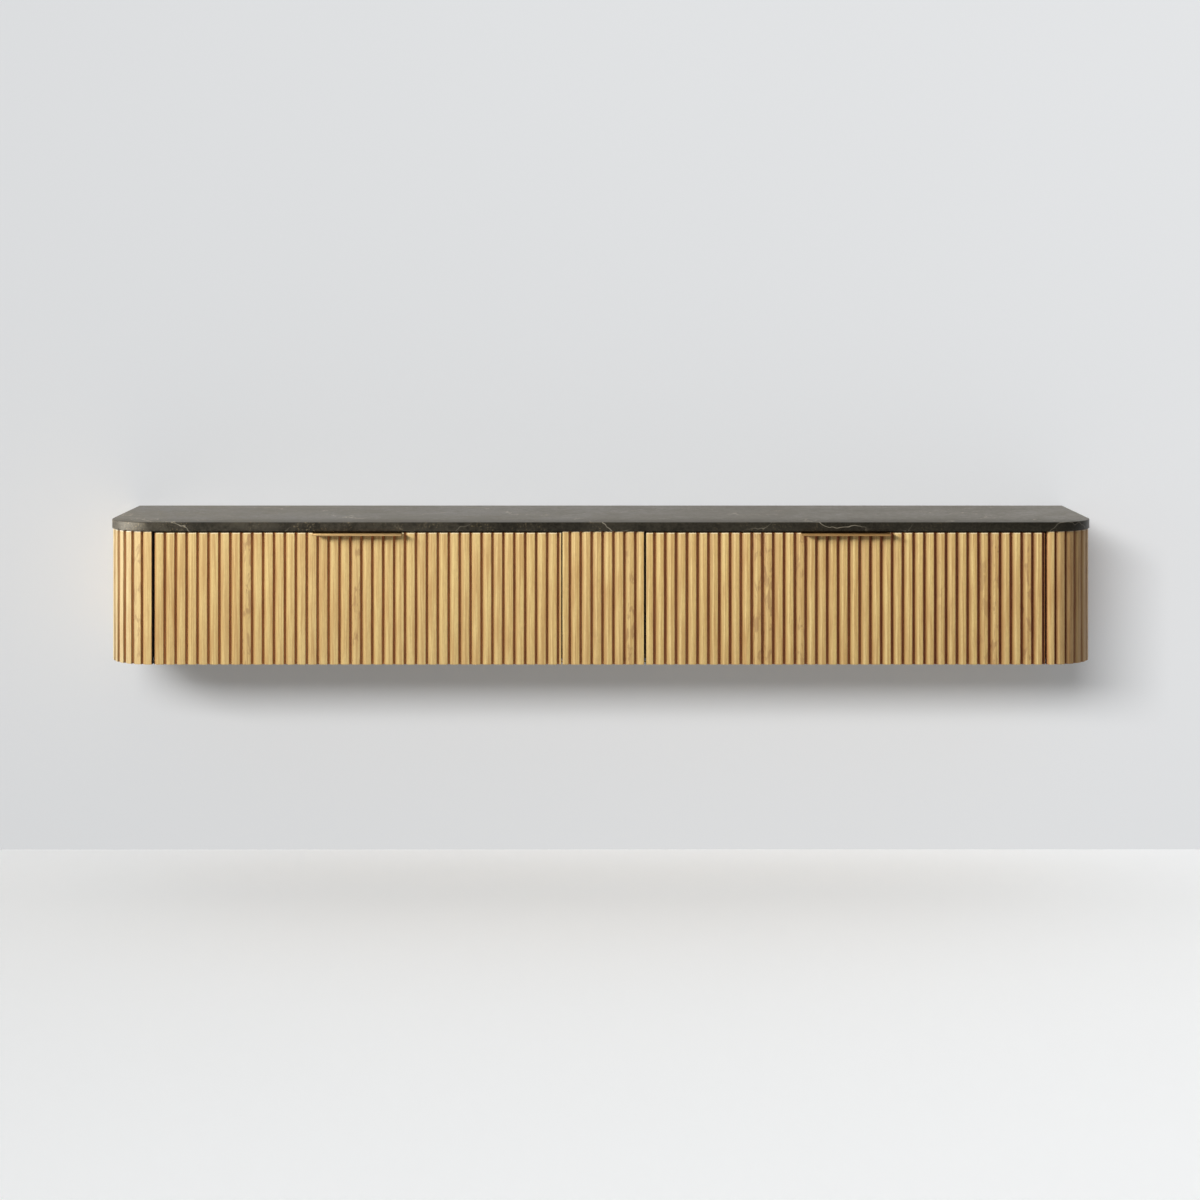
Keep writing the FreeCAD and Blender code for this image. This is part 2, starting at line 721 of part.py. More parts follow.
def strip(body, wall, way, layer, start, end, half_width):
    """A flat bar with clipped corners in one layer of a stay."""
    low, length = across(wall, way, *layer)
    run_y = f"(({end[0]}) - ({start[0]}))"
    run_z = f"(({end[1]}) - ({start[1]}))"
    sketch = new_sketch(body, "YZ_Plane", "Outline", low)
    turn_sketch(sketch, start[0], start[1], f"atan2({run_z}; {run_y})")
    far_end = f"sqrt({run_y}^2 + {run_z}^2) + {half_width}"
    rectangle(sketch, f"-{half_width}", f"-{half_width}", far_end, half_width)
    bar = pad(body, sketch, length, "Bar")
    edges = enumerate(bar.Shape.Edges, start=1)
    corners = [f"Edge{number}" for number, edge in edges if edge.BoundBox.XLength > TINY]
    clip = body.newObject("PartDesign::Chamfer", "Clip")
    clip.Base = (bar, corners)
    bind(clip, "Size", f"{half_width} * 2 / 3")
    doc.recompute()
    return low, length


def make_stay(name, wall, way):
    """A braked stay: arm and link fold as a parallelogram with the line from hinge pin to bracket stud."""
    arm_pivot = ("stay_back", "stay_rise")
    elbow = ("stay_back + reach_back", "stay_rise + reach_up")
    stud = ("reach_back", "reach_up")
    layers = stay_layers()

    housing = stay_body(f"{name}_stay_housing")
    housing_end = ("stay_back + housing_length", "stay_rise")
    strip(housing, wall, way, ("0", "housing_thick"), arm_pivot, housing_end, "housing_half_width")
    low, length = across(wall, way, "housing_thick", layers["arm"][1])
    rods(housing, "YZ_Plane", "Post", [arm_pivot], "post_radius", low, length)

    arm = stay_body(f"{name}_stay_arm")
    low, length = strip(arm, wall, way, layers["arm"], arm_pivot, elbow, "arm_half_width")
    drill(arm, "YZ_Plane", "PostBore", [arm_pivot], "post_radius + pin_clearance", low, length)
    low, length = across(wall, way, layers["arm"][1], layers["link"][1])
    rods(arm, "YZ_Plane", "Elbow", [elbow], "elbow_radius", low, length)

    link = stay_body(f"{name}_stay_link")
    low, length = strip(link, wall, way, layers["link"], elbow, stud, "link_half_width")
    drill(link, "YZ_Plane", "ElbowBore", [elbow], "elbow_radius + pin_clearance", low, length)
    drill(link, "YZ_Plane", "StudBore", [stud], "stud_radius + open_pivot_clearance", low, length)

    make_stay_bracket(name, wall, way, stud, layers)


def make_stay_bracket(name, wall, way, stud, layers):
    """An angle on the door's back: a flange against the door and an ear that carries the link's stud."""
    bracket = stay_body(f"{name}_stay_bracket")
    base_low = "reach_up - bracket_half_height"
    base_high = "reach_up + bracket_half_height"
    tip = "reach_back + ear_half_width"
    low, length = across(wall, way, *layers["ear"])
    sketch = new_sketch(bracket, "YZ_Plane", "EarOutline", low)
    outline(sketch, [
        ("hinge_inset", base_low),
        ("reach_back", "reach_up - ear_half_width"),
        (tip, "reach_up - ear_half_width / 2"),
        (tip, "reach_up + ear_half_width / 2"),
        ("reach_back", "reach_up + ear_half_width"),
        ("hinge_inset", base_high),
    ])
    pad(bracket, sketch, length, "Ear")
    low, length = across(wall, way, *layers["flange"])
    sketch = new_sketch(bracket, "YZ_Plane", "FlangeOutline", low)
    rectangle(sketch, "hinge_inset", base_low, "hinge_inset + bracket_sheet", base_high)
    pad(bracket, sketch, length, "Flange")
    low, length = across(wall, way, layers["link"][0], layers["ear"][0])
    rods(bracket, "YZ_Plane", "Stud", [stud], "stud_radius", low, length)


def save_parts():
    doc.recompute()
    for item in doc.Objects:
        if "Invalid" in item.State or "Error" in item.State:
            raise RuntimeError(f"{item.Label}: {item.State}")
    os.makedirs("parts", exist_ok=True)
    for body in sub_parts:
        shape = body.Shape
        if shape.isNull() or not shape.isValid() or shape.Volume <= 0:
            raise RuntimeError(f"{body.Label}: bad shape")
        shape.exportStep(os.path.join("parts", body.Label + ".step"))
        print(f"{body.Label}: {len(shape.Solids)} solid(s), {shape.Volume:.0f} mm3")


fill_sheet()
make_stone_top()
make_carcass()
make_wall_fixing()
end_shell("left", -1, LEFT_OUTER, "left_end_flat", "left_end_lead")
end_shell("right", 1, RIGHT_OUTER, "right_end_flat", "right_end_lead")
make_centre_panel()
make_hinge_blocks()
make_door("left")
make_door("right")
for name, (_, wall, way) in door_ends().items():
    make_stay(name, wall, way)
save_parts()
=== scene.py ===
import math
import random
import bmesh
import bpy
from mathutils import Matrix, Vector


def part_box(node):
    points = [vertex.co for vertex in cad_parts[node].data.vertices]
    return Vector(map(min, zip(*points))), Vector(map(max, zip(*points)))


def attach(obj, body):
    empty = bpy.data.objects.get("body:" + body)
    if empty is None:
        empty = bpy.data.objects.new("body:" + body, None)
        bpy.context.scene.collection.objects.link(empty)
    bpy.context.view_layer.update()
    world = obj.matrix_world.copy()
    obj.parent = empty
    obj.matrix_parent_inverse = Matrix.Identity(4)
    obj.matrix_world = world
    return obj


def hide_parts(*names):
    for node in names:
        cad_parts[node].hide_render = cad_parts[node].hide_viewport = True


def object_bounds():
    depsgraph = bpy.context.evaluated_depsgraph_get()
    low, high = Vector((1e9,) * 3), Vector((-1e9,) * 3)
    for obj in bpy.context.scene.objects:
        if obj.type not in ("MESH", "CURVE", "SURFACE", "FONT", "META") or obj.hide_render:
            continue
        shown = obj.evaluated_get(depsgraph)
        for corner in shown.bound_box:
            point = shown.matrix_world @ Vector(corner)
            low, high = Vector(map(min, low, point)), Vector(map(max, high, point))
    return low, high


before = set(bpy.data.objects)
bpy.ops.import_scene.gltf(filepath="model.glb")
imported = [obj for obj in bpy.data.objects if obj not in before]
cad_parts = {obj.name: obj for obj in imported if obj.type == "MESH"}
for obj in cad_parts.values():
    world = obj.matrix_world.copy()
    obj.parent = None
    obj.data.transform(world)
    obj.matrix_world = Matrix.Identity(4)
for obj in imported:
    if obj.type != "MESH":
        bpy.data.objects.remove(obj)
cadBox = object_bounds()
touching = 1e-6  # metres within which two places count as one
print("frame loaded:", len(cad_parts), "nodes")

# where the console stands in its room, and how it is looked at
view = {
    "eye": (-0.0017, -5.7105, 0.6185),
    "lens": 74.12,
    "sensor": 36.0,
    "shiftUp": -0.2606,
}

room = {
    "floorHeight": -0.681,
    "wallGap": 0.0015,  # the wall stands this far behind the console's back plane
    "halfWidth": 9.0,
    "wallTop": 7.0,
    "floorFront": -9.0,
    "wallColour": (0.802, 0.81, 0.819, 1),
    "floorColour": (0.895, 0.90, 0.90, 1),
    "wallLift": 0.12,  # how much of its colour a backdrop shows by itself
    "floorLift": 0.34,
    "leftShade": 0.17,  # how much darker the paint grows towards the left
    "shadeSpan": (-1.6, 1.5),  # from where to where it does
    "cloudScale": 0.7,
    "cloudTint": 0.97,
}

lamps = {  # from: degrees round from the front and degrees up, as seen from the console; sizes in metres
    "key": {"from": (-58, 22), "distance": 14.0, "size": (8.2, 1.5), "power": 2780, "lights": "console"},
    "fill": {"from": (-25, 58), "distance": 5.0, "size": (4.0, 2.5), "power": 44, "lights": "console"},
    "gleam": {"from": (-72, 3), "distance": 3.0, "size": (3.2, 1.6), "power": 250, "lights": "stone"},
    "behind": {"from": (180, 30), "distance": 4.5, "size": (2.5, 2.5), "power": 60, "lights": "console"},
    "room": {"from": (-17, 18.5), "distance": 16.0, "size": (8.6, 3.0), "power": 1900, "lights": "room"},
}
worldLight = {"strength": 0.255, "colour": (0.955, 0.98, 1.0, 1), "background": 0.45}


# small helpers, each used by several pieces
def deselect():
    bpy.ops.object.select_all(action="DESELECT")


def makeActive(piece):
    deselect()
    piece.select_set(True)
    bpy.context.view_layer.objects.active = piece


def applyPlace(piece):
    makeActive(piece)
    bpy.ops.object.transform_apply(location=True, rotation=True, scale=True)


def addBox(name, low, high):
    deselect()
    middle = [(a + b) / 2 for a, b in zip(low, high)]
    bpy.ops.mesh.primitive_cube_add(size=1, location=middle)
    piece = bpy.context.object
    piece.name = name
    piece.scale = [b - a for a, b in zip(low, high)]
    applyPlace(piece)
    return piece


# enters edit mode with the parts selected that pass the test
def edit(piece, kind, test=lambda part: True):
    makeActive(piece)
    bpy.ops.object.mode_set(mode="EDIT")
    bpy.ops.mesh.select_mode(type=kind)
    bpy.ops.mesh.select_all(action="DESELECT")
    mesh = bmesh.from_edit_mesh(piece.data)
    parts = {"VERT": mesh.verts, "EDGE": mesh.edges, "FACE": mesh.faces}[kind]
    for part in parts:
        if test(part):
            part.select_set(True)
    mesh.select_flush_mode()
    bmesh.update_edit_mesh(piece.data)


def endEdit():
    bpy.ops.object.mode_set(mode="OBJECT")


def edgeAt(along, **places):  # a test for an edge that runs along one axis and lies at the places given
    def test(edge):
        a, b = (v.co for v in edge.verts)
        middle = (a + b) / 2
        runsAlong = abs(getattr((b - a).normalized(), along)) > 0.99
        return runsAlong and all(abs(getattr(middle, axis) - place) < touching for axis, place in places.items())

    return test


def isLevel(edge):
    a, b = (v.co for v in edge.verts)
    return abs(a.z - b.z) < touching


def anyOf(*tests):
    return lambda part: any(test(part) for test in tests)


def bevelEdges(piece, test, width, segments):
    edit(piece, "EDGE", test)
    bpy.ops.mesh.bevel(offset=width, offset_type="OFFSET", segments=segments, profile=0.5, affect="EDGES")
    endEdit()


def bisect(piece, point, normal, **settings):  # cuts the mesh along a plane
    edit(piece, "FACE")
    bpy.ops.mesh.bisect(plane_co=point, plane_no=normal, **settings)
    endEdit()


def smooth(piece, angle=35):
    makeActive(piece)
    bpy.ops.object.shade_smooth_by_angle(angle=math.radians(angle))


def copyOf(piece):
    makeActive(piece)
    bpy.ops.object.duplicate(linked=False)
    return bpy.context.object


def joinAll(pieces, name):
    deselect()
    for piece in pieces:
        piece.select_set(True)
    bpy.context.view_layer.objects.active = pieces[0]
    if len(pieces) > 1:
        bpy.ops.object.join()
    whole = bpy.context.object
    whole.name = name
    whole.data.name = name
    applyPlace(whole)
    return whole


def setValues(piece, name, values):  # one number for each vertex, for a material to read
    attribute = piece.data.attributes.get(name) or piece.data.attributes.new(name, "FLOAT", "POINT")
    attribute.data.foreach_set("value", values)


def setValue(piece, name, value):
    setValues(piece, name, [value] * len(piece.data.vertices))


def dress(piece, material):
    piece.data.materials.clear()
    piece.data.materials.append(material)


def dressNode(node, material):
    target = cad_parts[node]
    if not target.material_slots:
        target.data.materials.append(material)
    for place in target.material_slots:
        place.material = material


class Tree:  # makes and links the nodes of a material, a group or the world
    def __init__(self, tree):
        self.tree = tree
        self.column = 0

    def add(self, kind, **settings):
        node = self.tree.nodes.new(kind)
        self.column += 1
        node.location = (self.column * 190, 0)
        for key, value in settings.items():
            setattr(node, key, value)
        return node

    def feed(self, socket, value):  # a link where a socket is given, a plain value otherwise
        if isinstance(value, bpy.types.NodeSocket):
            self.tree.links.new(value, socket)
        else:
            socket.default_value = value

    def make(self, kind, inputs, **settings):  # adds a node and feeds the inputs named
        node = self.add(kind, **settings)
        for label, value in inputs.items():
            self.feed(node.inputs[label], value)
        return node.outputs

    def maths(self, operation, a, b=0.0, clamp=False):
        return self.make("ShaderNodeMath", {0: a, 1: b}, operation=operation, use_clamp=clamp)[0]

    def times(self, first, *others):
        for other in others:
            first = self.maths("MULTIPLY", first, other)
        return first

    def vector(self, operation, a, b):
        return self.make("ShaderNodeVectorMath", {0: a, 1: b}, operation=operation)[0]

    def stretch(self, vector, along):  # draws a pattern out along Z
        return self.vector("MULTIPLY", vector, (1.0, 1.0, along))

    def split(self, vector):
        return self.make("ShaderNodeSeparateXYZ", {0: vector})

    def normal(self):  # which way the surface looks, along the object's own axes
        return self.split(self.add("ShaderNodeTexCoord").outputs["Normal"])

    def mark(self, name):  # a number that the mesh carries
        return self.add("ShaderNodeAttribute", attribute_name=name).outputs["Fac"]

    def noise(self, vector, scale, detail, roughness, distortion=0.0):
        inputs = {"Vector": vector, "Scale": scale, "Detail": detail, "Roughness": roughness}
        return self.make("ShaderNodeTexNoise", {**inputs, "Distortion": distortion})["Fac"]

    def range(self, value, low, high, toLow=0.0, toHigh=1.0, smooth=True):
        inputs = {"Value": value, "From Min": low, "From Max": high, "To Min": toLow, "To Max": toHigh}
        kind = "SMOOTHSTEP" if smooth else "LINEAR"
        return self.make("ShaderNodeMapRange", inputs, interpolation_type=kind)["Result"]

    def blend(self, share, a, b, kind="MIX"):
        return self.make("ShaderNodeMix", {0: share, 6: a, 7: b}, data_type="RGBA", blend_type=kind)[2]

    def tint(self, share, colour, by):
        return self.blend(share, colour, by, "MULTIPLY")

    def mixShaders(self, share, a, b):
        return self.make("ShaderNodeMixShader", {0: share, 1: a, 2: b})[0]

    def seen(self):  # 1 for rays from the camera, from a gloss or through glass
        path = self.add("ShaderNodeLightPath").outputs
        mirrored = self.maths("MAXIMUM", path["Is Glossy Ray"], path["Is Transmission Ray"])
        return self.maths("MAXIMUM", path["Is Camera Ray"], mirrored)


def newGroup(name, inputs, outputs):
    group = bpy.data.node_groups.new(name, "ShaderNodeTree")
    for way, sockets in (("INPUT", inputs), ("OUTPUT", outputs)):
        for label, kind in sockets.items():
            group.interface.new_socket(label, in_out=way, socket_type="NodeSocket" + kind)
    tree = Tree(group)
    return group, tree, tree.add("NodeGroupInput").outputs, tree.add("NodeGroupOutput").inputs


grainValues = {
    "broad": {"scale": 120.0, "share": 0.3},  # streaks a slat wide, and finer ones
    "narrow": {"scale": 330.0, "share": 0.7},
    "streakDraw": 0.028,  # along the grain the pattern is drawn out to 1 / this
    "figureDraw": 0.16,
    "poreDraw": 0.035,
    "rings": 95.0,
    "poreScale": 1300.0,
    "poreColour": (0.30, 0.165, 0.06, 1),
    "roughness": 0.43,
    "streakRoughness": 0.10,
}


def makeWoodGrain():  # grain that runs along Z of the vector it is given
    values = grainValues
    group, tree, given, out = newGroup(
        "woodGrain",
        {"Vector": "Vector", "Light": "Color", "Dark": "Color", "Streaks": "Float", "Pores": "Float",
         "Figure": "Float"},
        {"Colour": "Color", "Roughness": "Float", "Height": "Float"},
    )
    drawn = tree.stretch(given["Vector"], values["streakDraw"])
    broad = tree.times(tree.noise(drawn, values["broad"]["scale"], 4.0, 0.6, 0.35), values["broad"]["share"])
    narrow = tree.times(tree.noise(drawn, values["narrow"]["scale"], 3.0, 0.6), values["narrow"]["share"])
    streaks = tree.range(tree.maths("ADD", broad, narrow), 0.40, 0.62)
    cloud = tree.range(tree.noise(given["Vector"], 7.0, 2.0, 0.5), 0.35, 0.75, -0.08, 0.14)
    warp = tree.noise(tree.stretch(given["Vector"], values["figureDraw"]), 6.5, 2.0, 0.45, 0.3)
    rings = tree.range(tree.maths("SINE", tree.times(warp, values["rings"])), 0.1, 1.0)
    tone = tree.maths("ADD", tree.times(streaks, given["Streaks"]), tree.times(rings, given["Figure"]))
    tone = tree.maths("ADD", tone, cloud, clamp=True)
    pores = tree.noise(tree.stretch(given["Vector"], values["poreDraw"]), values["poreScale"], 2.0, 0.7)
    pores = tree.times(tree.range(pores, 0.60, 0.74), given["Pores"])
    colour = tree.blend(tone, given["Light"], given["Dark"])
    tree.feed(out["Colour"], tree.blend(pores, colour, values["poreColour"]))
    rough = tree.times(streaks, values["streakRoughness"])
    tree.feed(out["Roughness"], tree.maths("ADD", values["roughness"], rough))
    tree.feed(out["Height"], tree.maths("SUBTRACT", tree.times(streaks, 0.35), pores))
    return group


def makeBrushing():  # fine lines along X of the vector it is given, for the metals
    group, tree, given, out = newGroup(
        "brushing",
        {"Vector": "Vector", "Rough": "Float", "Spread": "Float"},
        {"Roughness": "Float", "Height": "Float", "Smudge": "Float"},
    )
    lines = tree.noise(tree.vector("MULTIPLY", given["Vector"], (0.02, 1.0, 1.0)), 2600.0, 3.0, 0.6)
    smudge = tree.noise(given["Vector"], 60.0, 3.0, 0.55)
    spread = tree.times(tree.maths("SUBTRACT", lines, 0.5), given["Spread"])
    rough = tree.maths("ADD", given["Rough"], spread)
    tree.feed(out["Roughness"], tree.maths("ADD", rough, tree.range(smudge, 0.4, 0.7, -0.03, 0.06)))
    tree.feed(out["Height"], lines)
    tree.feed(out["Smudge"], smudge)
    return group


def makeSpeckle():  # small uneven spots, for moulded plastic and stone
    group, tree, given, out = newGroup(
        "speckle", {"Vector": "Vector", "Scale": "Float"}, {"Mask": "Float", "Cloud": "Float"})
    tree.feed(out["Mask"], tree.range(tree.noise(given["Vector"], given["Scale"], 3.0, 0.65), 0.42, 0.62))
    tree.feed(out["Cloud"], tree.noise(given["Vector"], tree.times(given["Scale"], 0.05), 3.0, 0.5))
    return group


groups = {"woodGrain": makeWoodGrain(), "brushing": makeBrushing(), "speckle": makeSpeckle()}


def newMaterial(name):
    material = bpy.data.materials.new(name)
    material.use_nodes = True
    tree = Tree(material.node_tree)
    shader = material.node_tree.nodes["Principled BSDF"]
    return material, tree, shader, tree.add("ShaderNodeTexCoord").outputs["Object"]


def useGroup(tree, name, **values):
    return tree.make("ShaderNodeGroup", values, node_tree=groups[name])


def setSurface(tree, shader, colour, roughness, height, strength, distance):
    bump = tree.make("ShaderNodeBump", {"Strength": strength, "Distance": distance, "Height": height})[0]
    for label, value in (("Base Color", colour), ("Roughness", roughness), ("Normal", bump)):
        tree.feed(shader.inputs[label], value)


def grainAlongX(tree, point):  # the grain group's Z, turned along X
    return tree.make("ShaderNodeMapping", {"Vector": point, "Rotation": (0, math.pi / 2, 0)})[0]


reededOak = {
    "grain": {
        "Light": (0.79, 0.58, 0.238, 1), "Dark": (0.515, 0.288, 0.097, 1),
        "Streaks": 0.72, "Pores": 0.35, "Figure": 0.08,
    },
    "seedShift": (3.1, 1.7, 9.3),  # how far a slat's seed moves its pattern
    "toned": (0.55, 0.345, 0.145, 1),  # what the darkest slats go towards
    "tonedShare": 0.24,
    "streak": (0.36, 0.19, 0.075, 1),  # mineral streaks in a few slats
    "fleck": (0.40, 0.225, 0.09, 1),
    "crest": (1.13, 1.15, 1.20, 1),  # painted highlight: the slats are painted lighter along their crests
    "past": (0.985, 0.95, 0.88, 1),  # painted shade to the right of the crest
    "topHighlight": (1.0, 0.84, 0.55, 1),  # painted highlight on the upper ends
    "topHighlightShare": 0.7,
    "shoulders": ((0.64, 0.62, 0.58, 1), (0.47, 0.38, 0.28, 1)),  # painted shade on the slats' left shoulders: tints at the left and at the right
    "grooveShades": ((1.15, 0.71, 0.60, 1), (0.52, 0.155, 0.07, 1)),  # stain gathers in the grooves
    "leftShellLight": (0.88, 0.98, 1.22, 1),  # painted light on the left end shell and painted shade on the right one
    "rightShellShade": (0.80, 0.69, 0.68, 1),
    "seam": (0.012, 0.009, 0.007, 1),  # painted shadow: black in the seams
    "gloss": 0.42,
}


def makeReededOak():
    values = reededOak
    material, tree, shader, point = newMaterial("reededOak")
    tone = tree.mark("reedTone")
    recess = tree.mark("recess")
    x = tree.split(point)[0]
    facing = tree.normal()

    # the slat's own wood
    moved = tree.vector("ADD", point, tree.vector("MULTIPLY", tree.mark("reedSeed"), values["seedShift"]))
    grain = useGroup(tree, "woodGrain", Vector=moved, **values["grain"])
    toned = tree.range(tone, 0.0, 1.0, 0.0, values["tonedShare"], smooth=False)
    colour = tree.blend(toned, grain["Colour"], values["toned"])
    knots = tree.range(tree.noise(tree.stretch(moved, 0.30), 95.0, 3.0, 0.6, 0.5), 0.52, 0.62, 0.0, 0.6)
    colour = tree.blend(tree.times(tree.range(tone, 0.78, 0.90), knots), colour, values["streak"])

    # painted highlights and painted shade, which follow the slat's profile; on the fronts they grow towards the
    # right
    front = tree.times(tree.range(x, -0.45, 0.05), tree.range(x, 0.94, 0.956, 1.0, 0.0))
    rise = tree.range(facing[0], -0.30, -0.12)
    fall = tree.range(facing[0], -0.02, 0.008, 1.0, 0.0)
    # painted highlight along each crest and painted shade to its right, as if lit from the left
    colour = tree.tint(tree.times(rise, fall, front), colour, values["crest"])
    colour = tree.tint(tree.times(tree.range(facing[0], 0.0, 0.010), front), colour, values["past"])
    # painted highlight: the upper ends of the slats are lighter
    colour = tree.blend(tree.times(tree.mark("topHighlight"), values["topHighlightShare"]), colour, values["topHighlight"])
    # painted shade on each slat's left shoulder, where the neighbouring slat's shadow would fall
    shade = tree.blend(tree.range(x, 0.0, 0.9, smooth=False), *values["shoulders"])
    colour = tree.tint(tree.mark("shoulder"), colour, shade)
    # painted shade in the grooves and deep parts, darker and browner towards the right
    grooveShade = tree.blend(tree.range(x, -0.6, 1.0, smooth=False), *values["grooveShades"])
    upright = tree.range(tree.maths("ABSOLUTE", facing[2]), 0.5, 0.9, 1.0, 0.0)  # not the slats' end faces
    colour = tree.tint(tree.times(recess, upright), colour, grooveShade)
    # painted shade on the right end shell, painted light on the left one
    colour = tree.tint(tree.range(x, 0.955, 1.02), colour, values["rightShellShade"])
    colour = tree.tint(tree.range(x, -1.03, -0.965, 1.0, 0.0), colour, values["leftShellLight"])
    # painted shadow: the seams are black
    colour = tree.blend(tree.range(recess, 1.2, 1.8), colour, values["seam"])
    fleck = tree.noise(tree.stretch(moved, 0.22), 520.0, 3.0, 0.65)
    colour = tree.blend(tree.range(fleck, 0.40, 0.66, 0.0, 0.20), colour, values["fleck"])
    shader.inputs["Specular IOR Level"].default_value = values["gloss"]
    setSurface(tree, shader, colour, grain["Roughness"], grain["Height"], 0.35, 0.00025)
    return material


boardOak = {
    "shares": {"Streaks": 0.42, "Pores": 0.30, "Figure": 0.34},
    "boards": {"Light": (0.64, 0.46, 0.23, 1), "Dark": (0.49, 0.31, 0.135, 1)},
    "cores": {"Light": (0.62, 0.445, 0.225, 1), "Dark": (0.47, 0.30, 0.13, 1)},
    "seamEdgeShadow": (0.014, 0.011, 0.009, 1),  # painted shadow: black on the cores' edges where the fronts meet
}


def makeBoardOak(name, axis):
    material, tree, shader, point = newMaterial(name)
    if axis == "X":
        point = grainAlongX(tree, point)
    grain = useGroup(tree, "woodGrain", Vector=point, **boardOak["boards"], **boardOak["shares"])
    setSurface(tree, shader, grain["Colour"], grain["Roughness"], grain["Height"], 0.25, 0.0002)
    return material


def makeCoreOak():  # veneered faces, and front edges painted black as shadow in the seams
    material, tree, shader, point = newMaterial("coreOak")
    grain = useGroup(tree, "woodGrain", Vector=point, **boardOak["cores"], **boardOak["shares"])
    # painted shadow: the front edges are black
    edge = tree.range(tree.maths("ABSOLUTE", tree.normal()[1]), 0.2, 0.5, 1.0, 0.0)
    edge = tree.times(edge, tree.range(tree.split(point)[1], -0.375, -0.374, 1.0, 0.0))
    colour = tree.blend(edge, grain["Colour"], boardOak["seamEdgeShadow"])
    setSurface(tree, shader, colour, grain["Roughness"], grain["Height"], 0.25, 0.0002)
    return material


plywood = {
    "grain": {
        "Light": (0.72, 0.56, 0.36, 1), "Dark": (0.58, 0.41, 0.23, 1),
        "Streaks": 0.35, "Pores": 0.15, "Figure": 0.45,
    },
    "ply": 0.003,
    "glue": (0.33, 0.21, 0.11, 1),
}


def makePlywood():
    material, tree, shader, point = newMaterial("cleatPlywood")
    grain = useGroup(tree, "woodGrain", Vector=grainAlongX(tree, point), **plywood["grain"])
    plies = tree.maths("SINE", tree.times(tree.split(point)[1], 2 * math.pi / plywood["ply"]))
    edge = tree.maths("SUBTRACT", 1.0, tree.maths("ABSOLUTE", tree.normal()[1]), clamp=True)
    glue = tree.times(tree.range(plies, 0.2, 0.8), tree.range(edge, 0.2, 0.6, 0.0, 0.55))
    colour = tree.blend(glue, grain["Colour"], plywood["glue"])
    rough = tree.maths("ADD", grain["Roughness"], 0.15)
    setSurface(tree, shader, colour, rough, grain["Height"], 0.3, 0.0003)
    return material


marble = {
    "ground": (0.0048, 0.0041, 0.0026, 1),
    "patch": (0.044, 0.038, 0.027, 1),
    "speck": (0.085, 0.073, 0.052, 1),
    "speckScale": 260.0,
    "speckShare": 0.15,
    "fleck": (0.40, 0.31, 0.17, 1),
    "vein": (0.40, 0.355, 0.27, 1),
    "veins": (  # lean: which way a set of veins runs and how close it lies; gaps: how often it breaks off
        {"lean": (2.1, 1.8, 6.4), "width": 0.010, "strength": 0.72, "gaps": 8.0},
        {"lean": (-3.0, 4.1, 7.4), "width": 0.011, "strength": 0.36, "gaps": 12.0},
    ),
    "wander": 0.9,  # how far the veins leave a straight run
    "plain": {
        "Specular IOR Level": 0.20, "Specular Tint": (1.0, 0.90, 0.74, 1),
        "Sheen Weight": 0.05, "Sheen Tint": (1.0, 0.82, 0.52, 1),
    },
}


def makeStone():
    values = marble
    material, tree, shader, point = newMaterial("darkMarble")
    speck = useGroup(tree, "speckle", Vector=point, Scale=values["speckScale"])
    broad = tree.times(tree.noise(point, 4.0, 3.0, 0.55, 0.6), 0.45)
    patches = tree.times(tree.noise(point, 60.0, 5.0, 0.66, 1.0), 0.55)
    cloud = tree.maths("ADD", broad, patches)
    # painted light: the slab is lighter towards its left end, where the light falls
    paintedLeftLight = tree.range(tree.split(point)[0], -1.1, 0.9, 1.0, 0.12, smooth=False)
    colour = tree.blend(tree.times(tree.range(cloud, 0.38, 0.60), paintedLeftLight), values["ground"], values["patch"])
    colour = tree.blend(tree.times(speck["Mask"], values["speckShare"]), colour, values["speck"])
    flecks = tree.range(tree.noise(point, 270.0, 3.0, 0.7), 0.57, 0.68, 0.0, 0.6)
    swarms = tree.range(tree.noise(point, 17.0, 2.0, 0.5), 0.46, 0.62)
    colour = tree.blend(tree.times(flecks, swarms, paintedLeftLight), colour, values["fleck"])
    wander = tree.times(tree.noise(point, 9.0, 4.0, 0.55, 0.3), values["wander"])
    for vein in values["veins"]:
        dot = tree.make("ShaderNodeVectorMath", {0: point, 1: vein["lean"]}, operation="DOT_PRODUCT")
        wave = tree.maths("FRACT", tree.maths("ADD", dot["Value"], wander))
        line = tree.range(tree.maths("ABSOLUTE", tree.maths("SUBTRACT", wave, 0.5)), 0.0, vein["width"],
                          vein["strength"], 0.0)
        gate = tree.range(tree.noise(point, vein["gaps"], 2.0, 0.5), 0.44, 0.58)
        colour = tree.blend(tree.times(line, gate), colour, values["vein"])
    for label, value in values["plain"].items():
        shader.inputs[label].default_value = value
    setSurface(tree, shader, colour, tree.range(cloud, 0.35, 0.65, 0.34, 0.46), speck["Mask"], 0.08, 0.0002)
    return material


# the last argument: painted shade, a tint that darkens towards the right
def makeMetal(name, colour, darker, rough, spread, strength, paintedRightShade=None):
    material, tree, shader, point = newMaterial(name)
    lines = useGroup(tree, "brushing", Vector=point, Rough=rough, Spread=spread)
    paint = tree.blend(tree.range(lines["Smudge"], 0.35, 0.7), colour, darker)
    # painted shade towards the right
    if paintedRightShade:
        paint = tree.tint(tree.range(tree.split(point)[0], -0.3, 0.4), paint, paintedRightShade)
    shader.inputs["Metallic"].default_value = 1.0
    setSurface(tree, shader, paint, lines["Roughness"], lines["Height"], strength, 0.00008)
    return material


def makePlastic(name, colour, lighter, rough):
    material, tree, shader, point = newMaterial(name)
    speck = useGroup(tree, "speckle", Vector=point, Scale=1500.0)
    paint = tree.blend(speck["Cloud"], colour, lighter)
    roughness = tree.range(speck["Mask"], 0.0, 1.0, rough, rough + 0.12)
    setSurface(tree, shader, paint, roughness, speck["Mask"], 0.15, 0.00008)
    return material


